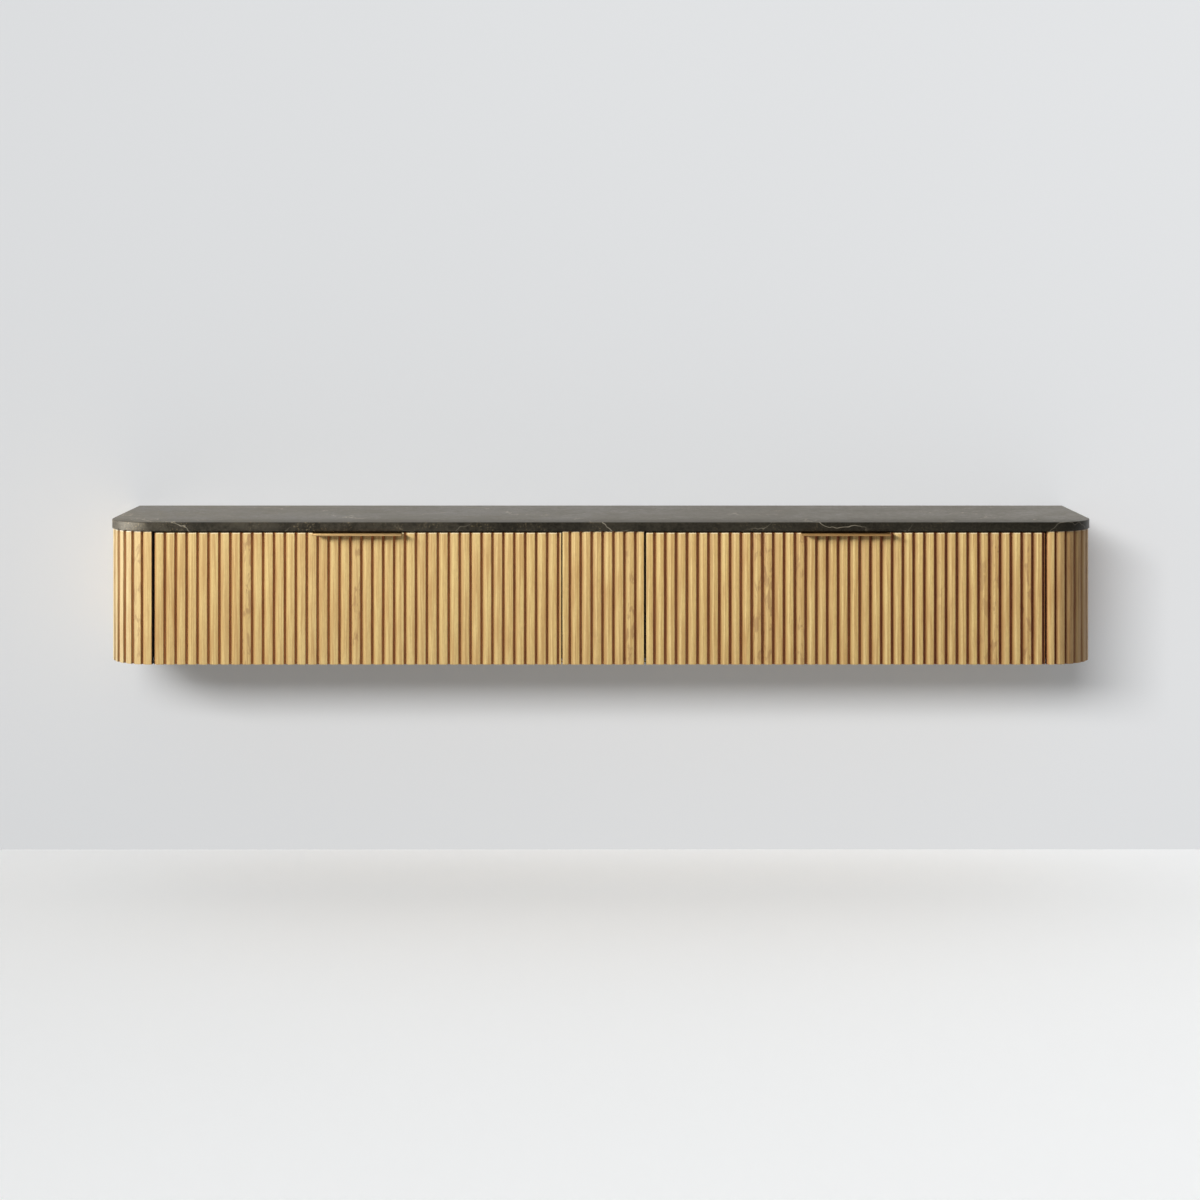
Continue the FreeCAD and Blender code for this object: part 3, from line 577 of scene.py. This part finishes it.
def makeBackdrop(name, colour, lift):  # a soft plain surface that is clear from behind
    material, tree, shader, point = newMaterial(name)
    material.node_tree.nodes.remove(shader)
    darker = (*(channel * room["cloudTint"] for channel in colour[:3]), 1)
    paint = tree.blend(tree.noise(point, room["cloudScale"], 2.0, 0.4), colour, darker)
    shade = tree.range(tree.split(point)[0], *room["shadeSpan"], room["leftShade"], 0.0, smooth=False)
    paint = tree.blend(shade, paint, (0.0, 0.0, 0.0, 1))
    diffuse = tree.make("ShaderNodeBsdfDiffuse", {"Color": paint})[0]
    glow = tree.make("ShaderNodeEmission", {"Color": paint, "Strength": tree.times(tree.seen(), lift)})[0]
    both = tree.make("ShaderNodeAddShader", {0: diffuse, 1: glow})[0]
    behind = tree.add("ShaderNodeNewGeometry").outputs["Backfacing"]
    clear = tree.add("ShaderNodeBsdfTransparent").outputs[0]
    surface = material.node_tree.nodes["Material Output"].inputs["Surface"]
    tree.feed(surface, tree.mixShaders(behind, both, clear))
    return material


metals = {
    "satinBrass": {
        "colour": (0.60, 0.39, 0.17, 1), "darker": (0.55, 0.35, 0.15, 1), "rough": 0.34, "spread": 0.14,
        # the last tint is painted shade, darker towards the right
        "strength": 0.15, "paintedRightShade": (0.68, 0.60, 0.53, 1),
    },
    "nickelSteel": {
        "colour": (0.62, 0.61, 0.59, 1), "darker": (0.50, 0.49, 0.47, 1), "rough": 0.33, "spread": 0.12,
        "strength": 0.12,
    },
    "zincSteel": {
        "colour": (0.50, 0.50, 0.50, 1), "darker": (0.38, 0.38, 0.39, 1), "rough": 0.42, "spread": 0.10,
        "strength": 0.10,
    },
}
plastics = {
    "greyPlastic": {"colour": (0.050, 0.051, 0.054, 1), "lighter": (0.075, 0.076, 0.080, 1), "rough": 0.48},
    "blackPlastic": {"colour": (0.018, 0.018, 0.018, 1), "lighter": (0.035, 0.035, 0.035, 1), "rough": 0.42},
    "naturalNylon": {"colour": (0.70, 0.68, 0.61, 1), "lighter": (0.78, 0.76, 0.70, 1), "rough": 0.45},
}
finishes = {
    "reededOak": makeReededOak(),
    "boardOakLong": makeBoardOak("boardOakLong", "X"),
    "boardOakUpright": makeBoardOak("boardOakUpright", "Z"),
    "coreOak": makeCoreOak(),
    "cleatPlywood": makePlywood(),
    "darkMarble": makeStone(),
    **{name: makeMetal(name, **values) for name, values in metals.items()},
    **{name: makePlastic(name, **values) for name, values in plastics.items()},
}
print("materials made:", len(finishes))


def makeCamera():
    camera = bpy.data.objects.new("camera", bpy.data.cameras.new("camera"))
    bpy.context.scene.collection.objects.link(camera)
    camera.location = view["eye"]
    camera.rotation_euler = (math.pi / 2, 0, 0)
    camera.data.lens = view["lens"]
    camera.data.sensor_width = view["sensor"]
    camera.data.shift_y = view["shiftUp"]
    bpy.context.scene.camera = camera


def addBackdrop(name, low, high, side):  # the one face of a box that looks towards the side
    surface = addBox(name, low, high)
    edit(surface, "FACE", lambda face: face.normal.dot(side) < 0.5)
    bpy.ops.mesh.delete(type="FACE")
    endEdit()
    dress(surface, makeBackdrop(name + "Paint", room[name + "Colour"], room[name + "Lift"]))
    surface.visible_shadow = False
    return surface


def makeRoom():
    across, gap, ground = room["halfWidth"], room["wallGap"], room["floorHeight"]
    wall = addBackdrop("wall", (-across, gap, ground), (across, gap + 0.1, room["wallTop"]), Vector((0, -1, 0)))
    floor = addBackdrop("floor", (-across, room["floorFront"], ground - 0.1), (across, gap, ground),
                        Vector((0, 0, 1)))
    floor.visible_diffuse = False  # no glow from the floor on the console
    return wall, floor


def keepLight(lamp, pieces, inside):  # a lamp for these pieces alone, or one kept off them
    group = bpy.data.collections.new(lamp.name + "Flag")
    for piece in pieces:
        group.objects.link(piece)
    lamp.light_linking.receiver_collection = group
    for entry in group.collection_objects:
        entry.light_linking.link_state = "INCLUDE" if inside else "EXCLUDE"


def makeLamps(surfaces, slab):
    middle = (cadBox[0] + cadBox[1]) / 2
    for name, values in lamps.items():
        lamp = bpy.data.lights.new(name, "AREA")
        lamp.shape = "RECTANGLE"
        lamp.size, lamp.size_y = values["size"]
        lamp.energy = values["power"]
        holder = bpy.data.objects.new(name, lamp)
        bpy.context.scene.collection.objects.link(holder)
        side, up = (math.radians(angle) for angle in values["from"])
        towards = Vector((math.sin(side) * math.cos(up), -math.cos(side) * math.cos(up), math.sin(up)))
        holder.location = middle + towards * values["distance"]
        holder.rotation_euler = towards.to_track_quat("Z", "Y").to_euler()
        holder.visible_camera = False
        if values["lights"] == "stone":  # only its reflection shows
            holder.visible_diffuse = False
            keepLight(holder, [slab], True)
        else:
            keepLight(holder, surfaces, values["lights"] == "room")


def makeWorld():
    world = bpy.data.worlds.new("studio")
    bpy.context.scene.world = world
    world.use_nodes = True
    tree = Tree(world.node_tree)
    light = world.node_tree.nodes["Background"]
    light.inputs["Color"].default_value = worldLight["colour"]
    light.inputs["Strength"].default_value = worldLight["strength"]
    pale = tree.make("ShaderNodeBackground", {"Strength": worldLight["background"]})[0]
    surface = world.node_tree.nodes["World Output"].inputs["Surface"]
    tree.feed(surface, tree.mixShaders(tree.seen(), light.outputs[0], pale))


makeCamera()
stageSurfaces = makeRoom()
makeWorld()
bpy.context.scene.view_settings.view_transform = "Standard"
print("room made")


# the stone top: a slab with two round front corners and eased rims
stoneValues = {
    "cornerRadius": 0.1015,
    "cornerSteps": 28,
    "rim": 0.0016,
    "wallEdge": 0.0001,  # edges this near the wall stay sharp
}


def makeStoneTop():
    values = stoneValues
    low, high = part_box("stone_top")
    slab = addBox("stoneSlab", low, high)
    bevelEdges(slab, edgeAt("z", y=low.y), values["cornerRadius"], values["cornerSteps"])

    def isRim(edge):
        return isLevel(edge) and sum(v.co.y for v in edge.verts) / 2 < high.y - values["wallEdge"]

    bevelEdges(slab, isRim, values["rim"], segments=3)
    smooth(slab)
    dress(slab, finishes["darkMarble"])
    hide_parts("stone_top")
    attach(slab, "cabinet")
    return slab


makeLamps(stageSurfaces, makeStoneTop())
print("stone top and lamps made")


# the reeded fronts: slats with crowned faces, standing on a thin backing
slats = {
    "seed": 11,
    "toneLean": 1.6,  # above 1, more of the slats are pale
    "front": -0.404,
    "depth": 0.007,
    "backing": -0.392,  # the backing's rear face
    "bottom": -0.192,
    "crown": 0.00015,  # fall of the face from its crest to its crisp right edge
    "slopeWidth": 0.0090,  # the round shoulder on the left of each slat
    "slopeDepth": 0.0068,
    "slopeRound": 1.62,  # 1 for a straight chamfer, 2 for a quarter round
    "slopeSteps": 6,
    "faceSteps": 5,
    "shoulder": 0.0006,  # radius of the crisp right arris
    "endEase": 0.0005,
    "easedShare": 0.8,  # the ends are eased down to this share of the shoulder's depth
    "topHighlightEdge": 0.0028,  # how far down the painted highlight on the upper end reaches
    "topHighlightShare": 0.3,  # and how deep
    "recessFrom": 0.285,  # the painted groove shade starts at this share of the depth and grows
    "recessPower": 0.6,
    "recessGain": 1.22,
    # the painted shade on each slat's left shoulder
    "shoulderPower": 0.67,
    "shoulderGain": 2.5,
    "cornerRadius": 0.099,
    "cornerSteps": 30,
    "pullDrop": 0.002,
    "seamEdge": 0.0036,  # how far the painted black seam shadow reaches along the groove floor
    "seamFade": 0.0002,
    "seamMark": 2.0,
    "seamFrom": 0.9,  # cut faces with more painted groove shade than this are painted black beside a seam
    "least": 0.0005,  # a slat cut narrower than this is left out
    "slim": 0.004,  # and one cut narrower than this gets painted groove shade all over
    "slimShade": 0.7,
    "slack": 0.00001,
}
reedDice = random.Random(slats["seed"])


def faceDepth(x, half):  # how far the slat's face lies behind its crest, x from its middle
    values = slats
    crest = -half + values["slopeWidth"]
    if x < crest:
        share = (crest - x) / values["slopeWidth"]
        power = values["slopeRound"]
        return values["slopeDepth"] * (1 - max(0, 1 - share ** power) ** (1 / power))
    return values["crown"] * ((x - crest) / (half - crest)) ** 2


def profileStops(half):  # where the slat's profile has a corner, from its left to its right
    values = slats
    steps = values["slopeSteps"]
    turns = [math.pi / 2 * step / steps for step in range(steps + 1)]
    stops = [-half + values["slopeWidth"] * (1 - math.cos(turn)) for turn in turns]
    flat = half - stops[-1]
    return stops + [stops[-1] + flat * step / values["faceSteps"] for step in range(1, values["faceSteps"] + 1)]


def makeReed(width, low, high):  # one slat, standing at X 0
    values = slats
    half = width / 2
    stops = profileStops(half)
    columns = len(stops) - 1
    deselect()
    bpy.ops.mesh.primitive_grid_add(
        x_subdivisions=columns, y_subdivisions=1, size=1,
        location=(0, values["front"], (low + high) / 2), rotation=(math.pi / 2, 0, 0),
    )
    reed = bpy.context.object
    reed.scale = (width, high - low, 1)
    applyPlace(reed)
    columnOf = [round((vert.co.x + half) / width * columns) for vert in reed.data.vertices]
    for column, stop in enumerate(stops):
        edit(reed, "VERT", lambda vert: columnOf[vert.index] == column)
        across = stop - (-half + width * column / columns)
        bpy.ops.transform.translate(value=(across, faceDepth(stop, half), 0))
        endEdit()
    edit(reed, "FACE")
    bpy.ops.mesh.extrude_region_move(TRANSFORM_OT_translate={"value": (0, values["depth"], 0)})
    bpy.ops.transform.resize(value=(1, 0, 1), center_override=(0, values["front"] + values["depth"], 0))
    bpy.ops.mesh.select_all(action="SELECT")
    bpy.ops.mesh.normals_make_consistent(inside=False)
    endEdit()
    arris = edgeAt("z", x=half, y=values["front"] + faceDepth(half, half))
    bevelEdges(reed, arris, values["shoulder"], segments=3)

    def isEndRim(edge):
        deepest = values["front"] + values["slopeDepth"] * values["easedShare"]
        return isLevel(edge) and max(v.co.y for v in edge.verts) < deepest

    bevelEdges(reed, isEndRim, values["endEase"], segments=2)
    for drop in (values["topHighlightEdge"] / 2, values["topHighlightEdge"]):
        bisect(reed, (0, 0, high - drop), (0, 0, 1))
    smooth(reed, 50)
    addMarks(reed, high)
    return reed


def addMarks(reed, high):  # where the painted groove shade, the painted shade on the left shoulder and the painted highlight on the upper end lie
    values = slats
    marks = {"recess": [], "shoulder": [], "topHighlight": []}
    for vert in reed.data.vertices:
        deep = max(0, vert.co.y - values["front"]) / values["depth"]
        atEnd = vert.co.z > high - values["topHighlightEdge"] / 2 - values["slack"]
        # painted groove shade, growing with depth
        grooveShade = max(0, deep - values["recessFrom"]) ** values["recessPower"]
        shade = values["shoulderGain"] * deep ** values["shoulderPower"]
        marks["recess"].append(grooveShade * values["recessGain"])
        marks["shoulder"].append(min(1, shade) if vert.co.x < 0 else 0)
        # the painted highlight on the upper end, near the face
        marks["topHighlight"].append(float(atEnd and deep < values["topHighlightShare"]))
    for label, numbers in marks.items():
        setValues(reed, label, numbers)


def markReed(reed):  # each slat is cut from its own board
    setValue(reed, "reedSeed", reedDice.random())
    setValue(reed, "reedTone", reedDice.random() ** slats["toneLean"])


def markBacking(backing, seed):
    # the backing gets the full painted groove shade
    for label, number in (("reedSeed", seed), ("reedTone", 0.5), ("recess", 1)):
        setValue(backing, label, number)


def paintSeamShadows(panel, *seams):  # the groove floor and the cut faces beside a seam are painted black: a painted shadow
    values = slats
    floor = values["front"] + values["depth"] - values["slack"]
    for vert, mark in zip(panel.data.vertices, panel.data.attributes["recess"].data):
        beside = min(abs(vert.co.x - x) for x in seams) < values["seamEdge"] + values["slack"]
        if beside and (vert.co.y > floor or mark.value > values["seamFrom"]):
            mark.value = values["seamMark"]


def cutAway(piece, low, high):  # takes a block out of a closed piece
    cutter = addBox("cutter", low, high)
    cut = piece.modifiers.new("cut", "BOOLEAN")
    cut.operation = "DIFFERENCE"
    cut.solver = "EXACT"
    cut.object = cutter
    makeActive(piece)
    bpy.ops.object.modifier_apply(modifier=cut.name)
    bpy.data.objects.remove(cutter, do_unlink=True)


def notch(piece, pull, top):  # makes room for a pull in the top edge
    cutAway(piece, (pull[0], -0.5, top - slats["pullDrop"]), (pull[1], 0, top + 0.01))


def trimSide(piece, x, keepBelow):  # cuts a slat off upright at x and closes it
    bisect(piece, (x, 0, 0), (1, 0, 0), use_fill=True, clear_outer=keepBelow, clear_inner=not keepBelow)


def finishReeds(pieces, sources, name, node, body, *seams):
    for source in sources:
        bpy.data.objects.remove(source, do_unlink=True)
    panel = joinAll(pieces, name)
    paintSeamShadows(panel, *seams)
    smooth(panel, 50)
    dress(panel, finishes["reededOak"])
    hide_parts(node)
    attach(panel, body)


# first: the middle of any groove; trims: how far the outer slats are cut back from the sides
flatFronts = {
    "leftDoorReeds": {
        "node": "left_door_reeds", "body": "left_door", "pull": "left_pull", "top": 0.091,
        "first": -0.9612, "pitch": 0.02347, "groove": 0.0031, "trims": (0.0012, 0),
    },
    "centreReeds": {
        "node": "centre_reeds", "body": "cabinet", "top": 0.094,
        "first": -0.0674, "pitch": 0.02345, "groove": 0.0034, "trims": (0, 0.0012),
    },
    "rightDoorReeds": {
        "node": "right_door_reeds", "body": "right_door", "pull": "right_pull", "top": 0.091,
        "first": 0.1146, "pitch": 0.0232, "groove": 0.0043, "trims": (0.0010, 0.0002),
    },
}


def makeFlatReeds(name, front):
    values = slats
    pitch, groove, first = front["pitch"], front["groove"], front["first"]
    width = pitch - groove
    low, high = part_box(front["node"])
    start, end = low.x + front["trims"][0], high.x - front["trims"][1]
    source = makeReed(width, values["bottom"], front["top"])
    backing = addBox("backing", (low.x, values["front"] + values["depth"], low.z),
                     (high.x, values["backing"], high.z))
    for inset in (values["seamEdge"], values["seamEdge"] + values["seamFade"]):
        for x in (low.x + inset, high.x - inset):
            bisect(backing, (x, 0, 0), (1, 0, 0))
    pull = [corner.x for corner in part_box(front["pull"])] if "pull" in front else None
    if pull:
        notch(backing, pull, high.z)
    markBacking(backing, seed=0.37)
    pieces = [backing]
    outside = first - pitch * math.floor((first - low.x) / pitch + 1)  # a groove left of the front
    for number in range(math.ceil((high.x - low.x) / pitch) + 2):
        left = outside + number * pitch + groove / 2
        right = left + width
        if right < start + values["least"] or left > end - values["least"]:
            continue
        reed = copyOf(source)
        reed.location = ((left + right) / 2, 0, 0)
        applyPlace(reed)
        if left < start - values["slack"]:
            trimSide(reed, start, False)
        if right > end + values["slack"]:
            trimSide(reed, end, True)
        if pull and right > pull[0] and left < pull[1]:
            notch(reed, pull, high.z)
        markReed(reed)
        # a slim slat gets painted groove shade all over
        if min(right, end) - max(left, start) < values["slim"]:
            setValue(reed, "recess", values["slimShade"])
        pieces.append(reed)
    finishReeds(pieces, [source], name, front["node"], front["body"], low.x, high.x)


# end shells, measured along the skin from the middle of the seam's groove. flat: where the bend starts;
# lead: the first slat's own pitch; shade: how strong the shoulders' shade is round the bend
endShells = {
    "leftEndReeds": {
        "node": "left_end_reeds", "side": -1, "top": 0.094, "trim": 0.0013, "shade": 1,
        "flat": 0.003, "lead": 0.0249, "pitch": 0.02345, "groove": 0.0031,
    },
    "rightEndReeds": {
        "node": "right_end_reeds", "side": 1, "top": 0.094, "trim": 0, "shade": 0.55,
        "flat": 0.0093, "lead": 0.0204, "pitch": 0.02345, "groove": 0.0043,
    },
}


def makeEndReeds(name, shell):
    values = slats
    radius = values["cornerRadius"]
    side, flat = shell["side"], shell["flat"]
    low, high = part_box(shell["node"])
    wide = max(abs(low.x), abs(high.x))
    centre = Vector((side * (wide - radius), values["front"] + radius, 0))
    edge = low.x if side > 0 else high.x
    bendEnd = flat + radius * math.pi / 2

    # the backing: a strip from the seam round the corner to the wall
    inner, outer = radius - (values["backing"] - values["front"]), radius - values["depth"]
    backing = addBox("backing", (min(edge, centre.x), centre.y - outer, low.z),
                     (max(edge, centre.x), centre.y - inner, high.z))
    edit(backing, "FACE", lambda face: face.normal.x * side > 0.9)
    bpy.ops.mesh.spin(steps=values["cornerSteps"], angle=-side * math.pi / 2, center=centre, axis=(0, 0, 1))
    bpy.ops.mesh.extrude_region_move(TRANSFORM_OT_translate={"value": (0, -centre.y, 0)})
    bpy.ops.mesh.select_all(action="SELECT")
    bpy.ops.mesh.remove_doubles(threshold=touching)
    bpy.ops.mesh.normals_make_consistent(inside=False)
    endEdit()
    markBacking(backing, seed=0.61)
    pieces = [backing]

    grooves = [0.0, shell["lead"]]
    while grooves[-1] - bendEnd <= -centre.y:
        grooves.append(grooves[-1] + shell["pitch"])
    widths = [shell[pitch] - shell["groove"] for pitch in ("lead", "pitch")]
    sources = [makeReed(width, values["bottom"], shell["top"]) for width in widths]
    for start, stop in zip(grooves, grooves[1:]):
        reed = copyOf(sources[0 if start == 0 else 1])
        middle = (start + stop) / 2
        turn = side * min(max((middle - flat) / radius, 0), math.pi / 2)
        along = Vector((side * min(middle - flat, 0), max(middle - bendEnd, 0), 0))
        reed.matrix_world = (Matrix.Translation(centre + along) @ Matrix.Rotation(turn, 4, "Z")
                             @ Matrix.Translation((0, -centre.y, 0)))
        applyPlace(reed)
        if start == 0 and shell["trim"]:
            trimSide(reed, edge + side * shell["trim"], side < 0)
        if middle > flat:
            for mark in reed.data.attributes["shoulder"].data:
                mark.value *= shell["shade"]
        if stop - bendEnd > -centre.y:
            bisect(reed, (0, high.y, 0), (0, 1, 0), use_fill=True, clear_outer=True)
        if len(reed.data.vertices) == 0:  # the last one may lie in the wall
            bpy.data.objects.remove(reed, do_unlink=True)
            continue
        markReed(reed)
        pieces.append(reed)
    finishReeds(pieces, sources, name, shell["node"], "cabinet", edge)


for name, front in flatFronts.items():
    makeFlatReeds(name, front)
for name, shell in endShells.items():
    makeEndReeds(name, shell)
print("reeded fronts made")


# the edge pulls: a strip folded over a door's top edge, with a lip turned down in front
pullValues = {
    "sheet": 0.002,
    "legBottom": 0.079,
    "lipBottom": 0.086,
    "bend": 0.0015,
    "inside": 0.0006,  # radius of the inner bends
    "rim": 0.00035,
}


def makePull(side):
    values = pullValues
    low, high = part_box(side + "_pull")
    sheet = values["sheet"]
    inner = high.z - sheet
    front, rear = low.y + sheet, high.y - sheet
    pull = addBox(side + "Pull", (low.x, low.y, inner), high)
    for y in (front, rear):
        bisect(pull, (0, y, 0), (0, 1, 0))
    for bottom, start, stop in ((values["lipBottom"], low.y, front), (values["legBottom"], rear, high.y)):
        edit(pull, "FACE", lambda face: face.normal.z < -0.9 and start < face.calc_center_median().y < stop)
        bpy.ops.mesh.extrude_region_move(TRANSFORM_OT_translate={"value": (0, 0, bottom - inner)})
        endEdit()
    outer = anyOf(edgeAt("x", y=low.y, z=high.z), edgeAt("x", y=high.y, z=high.z))
    bevelEdges(pull, outer, values["bend"], segments=5)
    bends = anyOf(edgeAt("x", y=front, z=inner), edgeAt("x", y=rear, z=inner))
    bevelEdges(pull, bends, values["inside"], segments=3)
    rim = pull.modifiers.new("rim", "BEVEL")
    rim.width = values["rim"]
    rim.segments = 2
    rim.limit_method = "ANGLE"
    rim.angle_limit = math.radians(60)
    makeActive(pull)
    bpy.ops.object.modifier_apply(modifier=rim.name)
    smooth(pull, 30)
    dress(pull, finishes["satinBrass"])
    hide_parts(side + "_pull")
    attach(pull, side + "_door")


for side in ("left", "right"):
    makePull(side)
print("pulls made")


# small screws and rivet heads, each kind modelled once
headKinds = {
    "wood": {"radius": 0.0034, "proud": 0.0004, "domed": False, "cross": True},
    "pan": {"radius": 0.0038, "proud": 0.0016, "domed": True, "cross": True},
    "small": {"radius": 0.0026, "proud": 0.0002, "domed": False, "cross": True},
    "rivet": {"radius": 0.0062, "proud": 0.0012, "domed": True, "cross": False},
    "stud": {"radius": 0.0045, "proud": 0.0011, "domed": True, "cross": False},
}
headValues = {
    "sunk": 0.0012,  # how far a head's rim goes into what carries it
    "sides": 28,
    "easeAcross": 0.45,  # the eased rim, as shares of the radius and of the height; the smaller holds
    "easeDown": 0.85,
    "crossLong": 0.55,  # half the recess's length and width, as shares of the radius
    "crossWide": 0.17,
    "crossDeep": 0.0012,  # its depth, or at most this share of the head's
    "crossShare": 0.6,
}


def makeHead(kind):  # a head that looks along +Z, its carrying face at Z 0
    shape, values = headKinds[kind], headValues
    radius, proud = shape["radius"], shape["proud"]
    sunk = values["sunk"]
    deselect()
    bpy.ops.mesh.primitive_cylinder_add(vertices=values["sides"], radius=radius, depth=proud + sunk,
                                        location=(0, 0, (proud - sunk) / 2))
    head = bpy.context.object
    head.name = kind + "Head"
    applyPlace(head)
    edit(head, "FACE", lambda face: face.normal.z > 0.9)
    ease = min(radius * values["easeAcross"], proud * values["easeDown"])
    bpy.ops.mesh.bevel(offset=ease, segments=4 if shape["domed"] else 1, affect="EDGES")
    endEdit()
    if shape["cross"]:
        reach, half = radius * values["crossLong"], radius * values["crossWide"]
        depth = min(values["crossDeep"], (proud + sunk) * values["crossShare"])
        for x, y in ((reach, half), (half, reach)):
            cutAway(head, (-x, -y, proud - depth), (x, y, proud + 0.001))
    smooth(head, 40)
    return head


heads = {kind: makeHead(kind) for kind in headKinds}
facings = {
    "+X": Matrix.Rotation(math.pi / 2, 4, "Y"),
    "-X": Matrix.Rotation(-math.pi / 2, 4, "Y"),
    "+Y": Matrix.Rotation(-math.pi / 2, 4, "X"),
    "-Y": Matrix.Rotation(math.pi / 2, 4, "X"),
    "-Z": Matrix.Rotation(math.pi, 4, "X"),
}


def placeHeads(name, kind, facing, places, body, finish="zincSteel"):
    pieces = []
    for place in places:
        head = copyOf(heads[kind])
        turn = Matrix.Rotation(reedDice.uniform(0, math.pi), 4, "Z")
        head.matrix_world = Matrix.Translation(place) @ facings[facing] @ turn
        applyPlace(head)
        pieces.append(head)
    group = joinAll(pieces, name)
    dress(group, finishes[finish])
    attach(group, body)


stays = {"left_outer": 1, "left_inner": -1, "right_inner": 1, "right_outer": -1}  # which way each looks along X
stayValues = {  # points are Y and Z; faces are measured from the compartment's wall
    "pivot": (-0.315, -0.123),
    "elbow": (-0.295, 0.039),
    "stud": (-0.365, -0.021),
    "armFace": 0.0125,
    "linkNear": 0.013,
    "linkFace": 0.016,
    "housingFace": 0.009,
    "housingScrews": (-0.287, -0.254),  # their Y
    "flangeMiddle": 0.030,
    "flangeFace": -0.3735,  # its Y
    "flangeScrews": (-0.029, -0.013),  # their Z
}


def dressStay(name, way):
    values = stayValues
    end, place = name.split("_")
    label = end + place.title()
    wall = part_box(name + "_stay_housing")[0 if way > 0 else 1].x
    facing, back = ("+X", "-X") if way > 0 else ("-X", "+X")

    def at(depth, point):
        return (wall + way * depth, *point)

    housing = [at(values["housingFace"], (y, values["pivot"][1])) for y in values["housingScrews"]]
    flange = [at(values["flangeMiddle"], (values["flangeFace"], z)) for z in values["flangeScrews"]]
    rivets = (
        ("PivotCap", "rivet", facing, "armFace", "pivot", name + "_arm"),
        ("ElbowRivet", "rivet", facing, "linkFace", "elbow", name + "_link"),
        ("StudHead", "stud", back, "linkNear", "stud", end + "_door"),
    )
    placeHeads(label + "HousingScrews", "pan", facing, housing, "cabinet")
    for suffix, kind, looks, face, point, body in rivets:
        placeHeads(label + suffix, kind, looks, [at(values[face], values[point])], body, "nickelSteel")
    placeHeads(label + "BracketScrews", "pan", "+Y", flange, end + "_door")


doorScrews = {
    "pullHeight": 0.0835,
    "pullShares": (0.12, 0.5, 0.88),  # along the pull
    "strikeHalf": 0.013,  # half the distance between the two screws
    "catchHalf": 0.017,
    "catchBack": 0.004,
}


def dressDoor(door):
    values = doorScrews
    low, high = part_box(door + "_pull")
    places = [(low.x + (high.x - low.x) * share, high.y, values["pullHeight"]) for share in values["pullShares"]]
    placeHeads(door + "PullScrews", "small", "+Y", places, door + "_door", "satinBrass")
    low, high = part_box(door + "_strike")
    middle = (low + high) / 2
    places = [(middle.x + way * values["strikeHalf"], high.y, middle.z) for way in (-1, 1)]
    placeHeads(door + "StrikeScrews", "small", "+Y", places, door + "_door")
    low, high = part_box(door + "_catch")
    middle = (low + high) / 2
    places = [(middle.x + way * values["catchHalf"], middle.y + values["catchBack"], low.z) for way in (-1, 1)]
    placeHeads(door + "CatchScrews", "pan", "-Z", places, "cabinet")


cleatScrews = {"height": 0.046, "across": (-0.90, -0.66, -0.42, -0.18, 0.0, 0.18, 0.42, 0.66, 0.90)}


def dressBack():
    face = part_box("back_panel")[0].y
    places = [(x, face, cleatScrews["height"]) for x in cleatScrews["across"]]
    placeHeads("cleatScrews", "wood", "-Y", places, "cabinet")


for name, way in stays.items():
    dressStay(name, way)
for door in ("left", "right"):
    dressDoor(door)
dressBack()
for head in heads.values():
    bpy.data.objects.remove(head, do_unlink=True)
print("fasteners made")


# the carried-over pieces get their finishes
nodeFinishes = {
    "boardOakLong": ("top_panel", "bottom_panel", "back_panel"),
    "boardOakUpright": ("left_divider", "right_divider", "left_end_panel", "right_end_panel"),
    "coreOak": ("left_end_core", "right_end_core", "centre_core", "left_door_core", "right_door_core"),
    "cleatPlywood": ("hanging_cleat", "wall_cleat", "wall_spacers"),
    "naturalNylon": ("hinge_blocks",),
    "blackPlastic": ("left_catch", "right_catch"),
    "zincSteel": ("left_strike", "right_strike", "left_hinge_pins", "right_hinge_pins"),
    "greyPlastic": [f"{name}_stay_housing" for name in stays],
    "nickelSteel": [f"{name}_stay_{part}" for name in stays for part in ("arm", "link", "bracket")],
}
for name, nodes in nodeFinishes.items():
    for node in nodes:
        dressNode(node, finishes[name])
print("carried-over pieces finished")
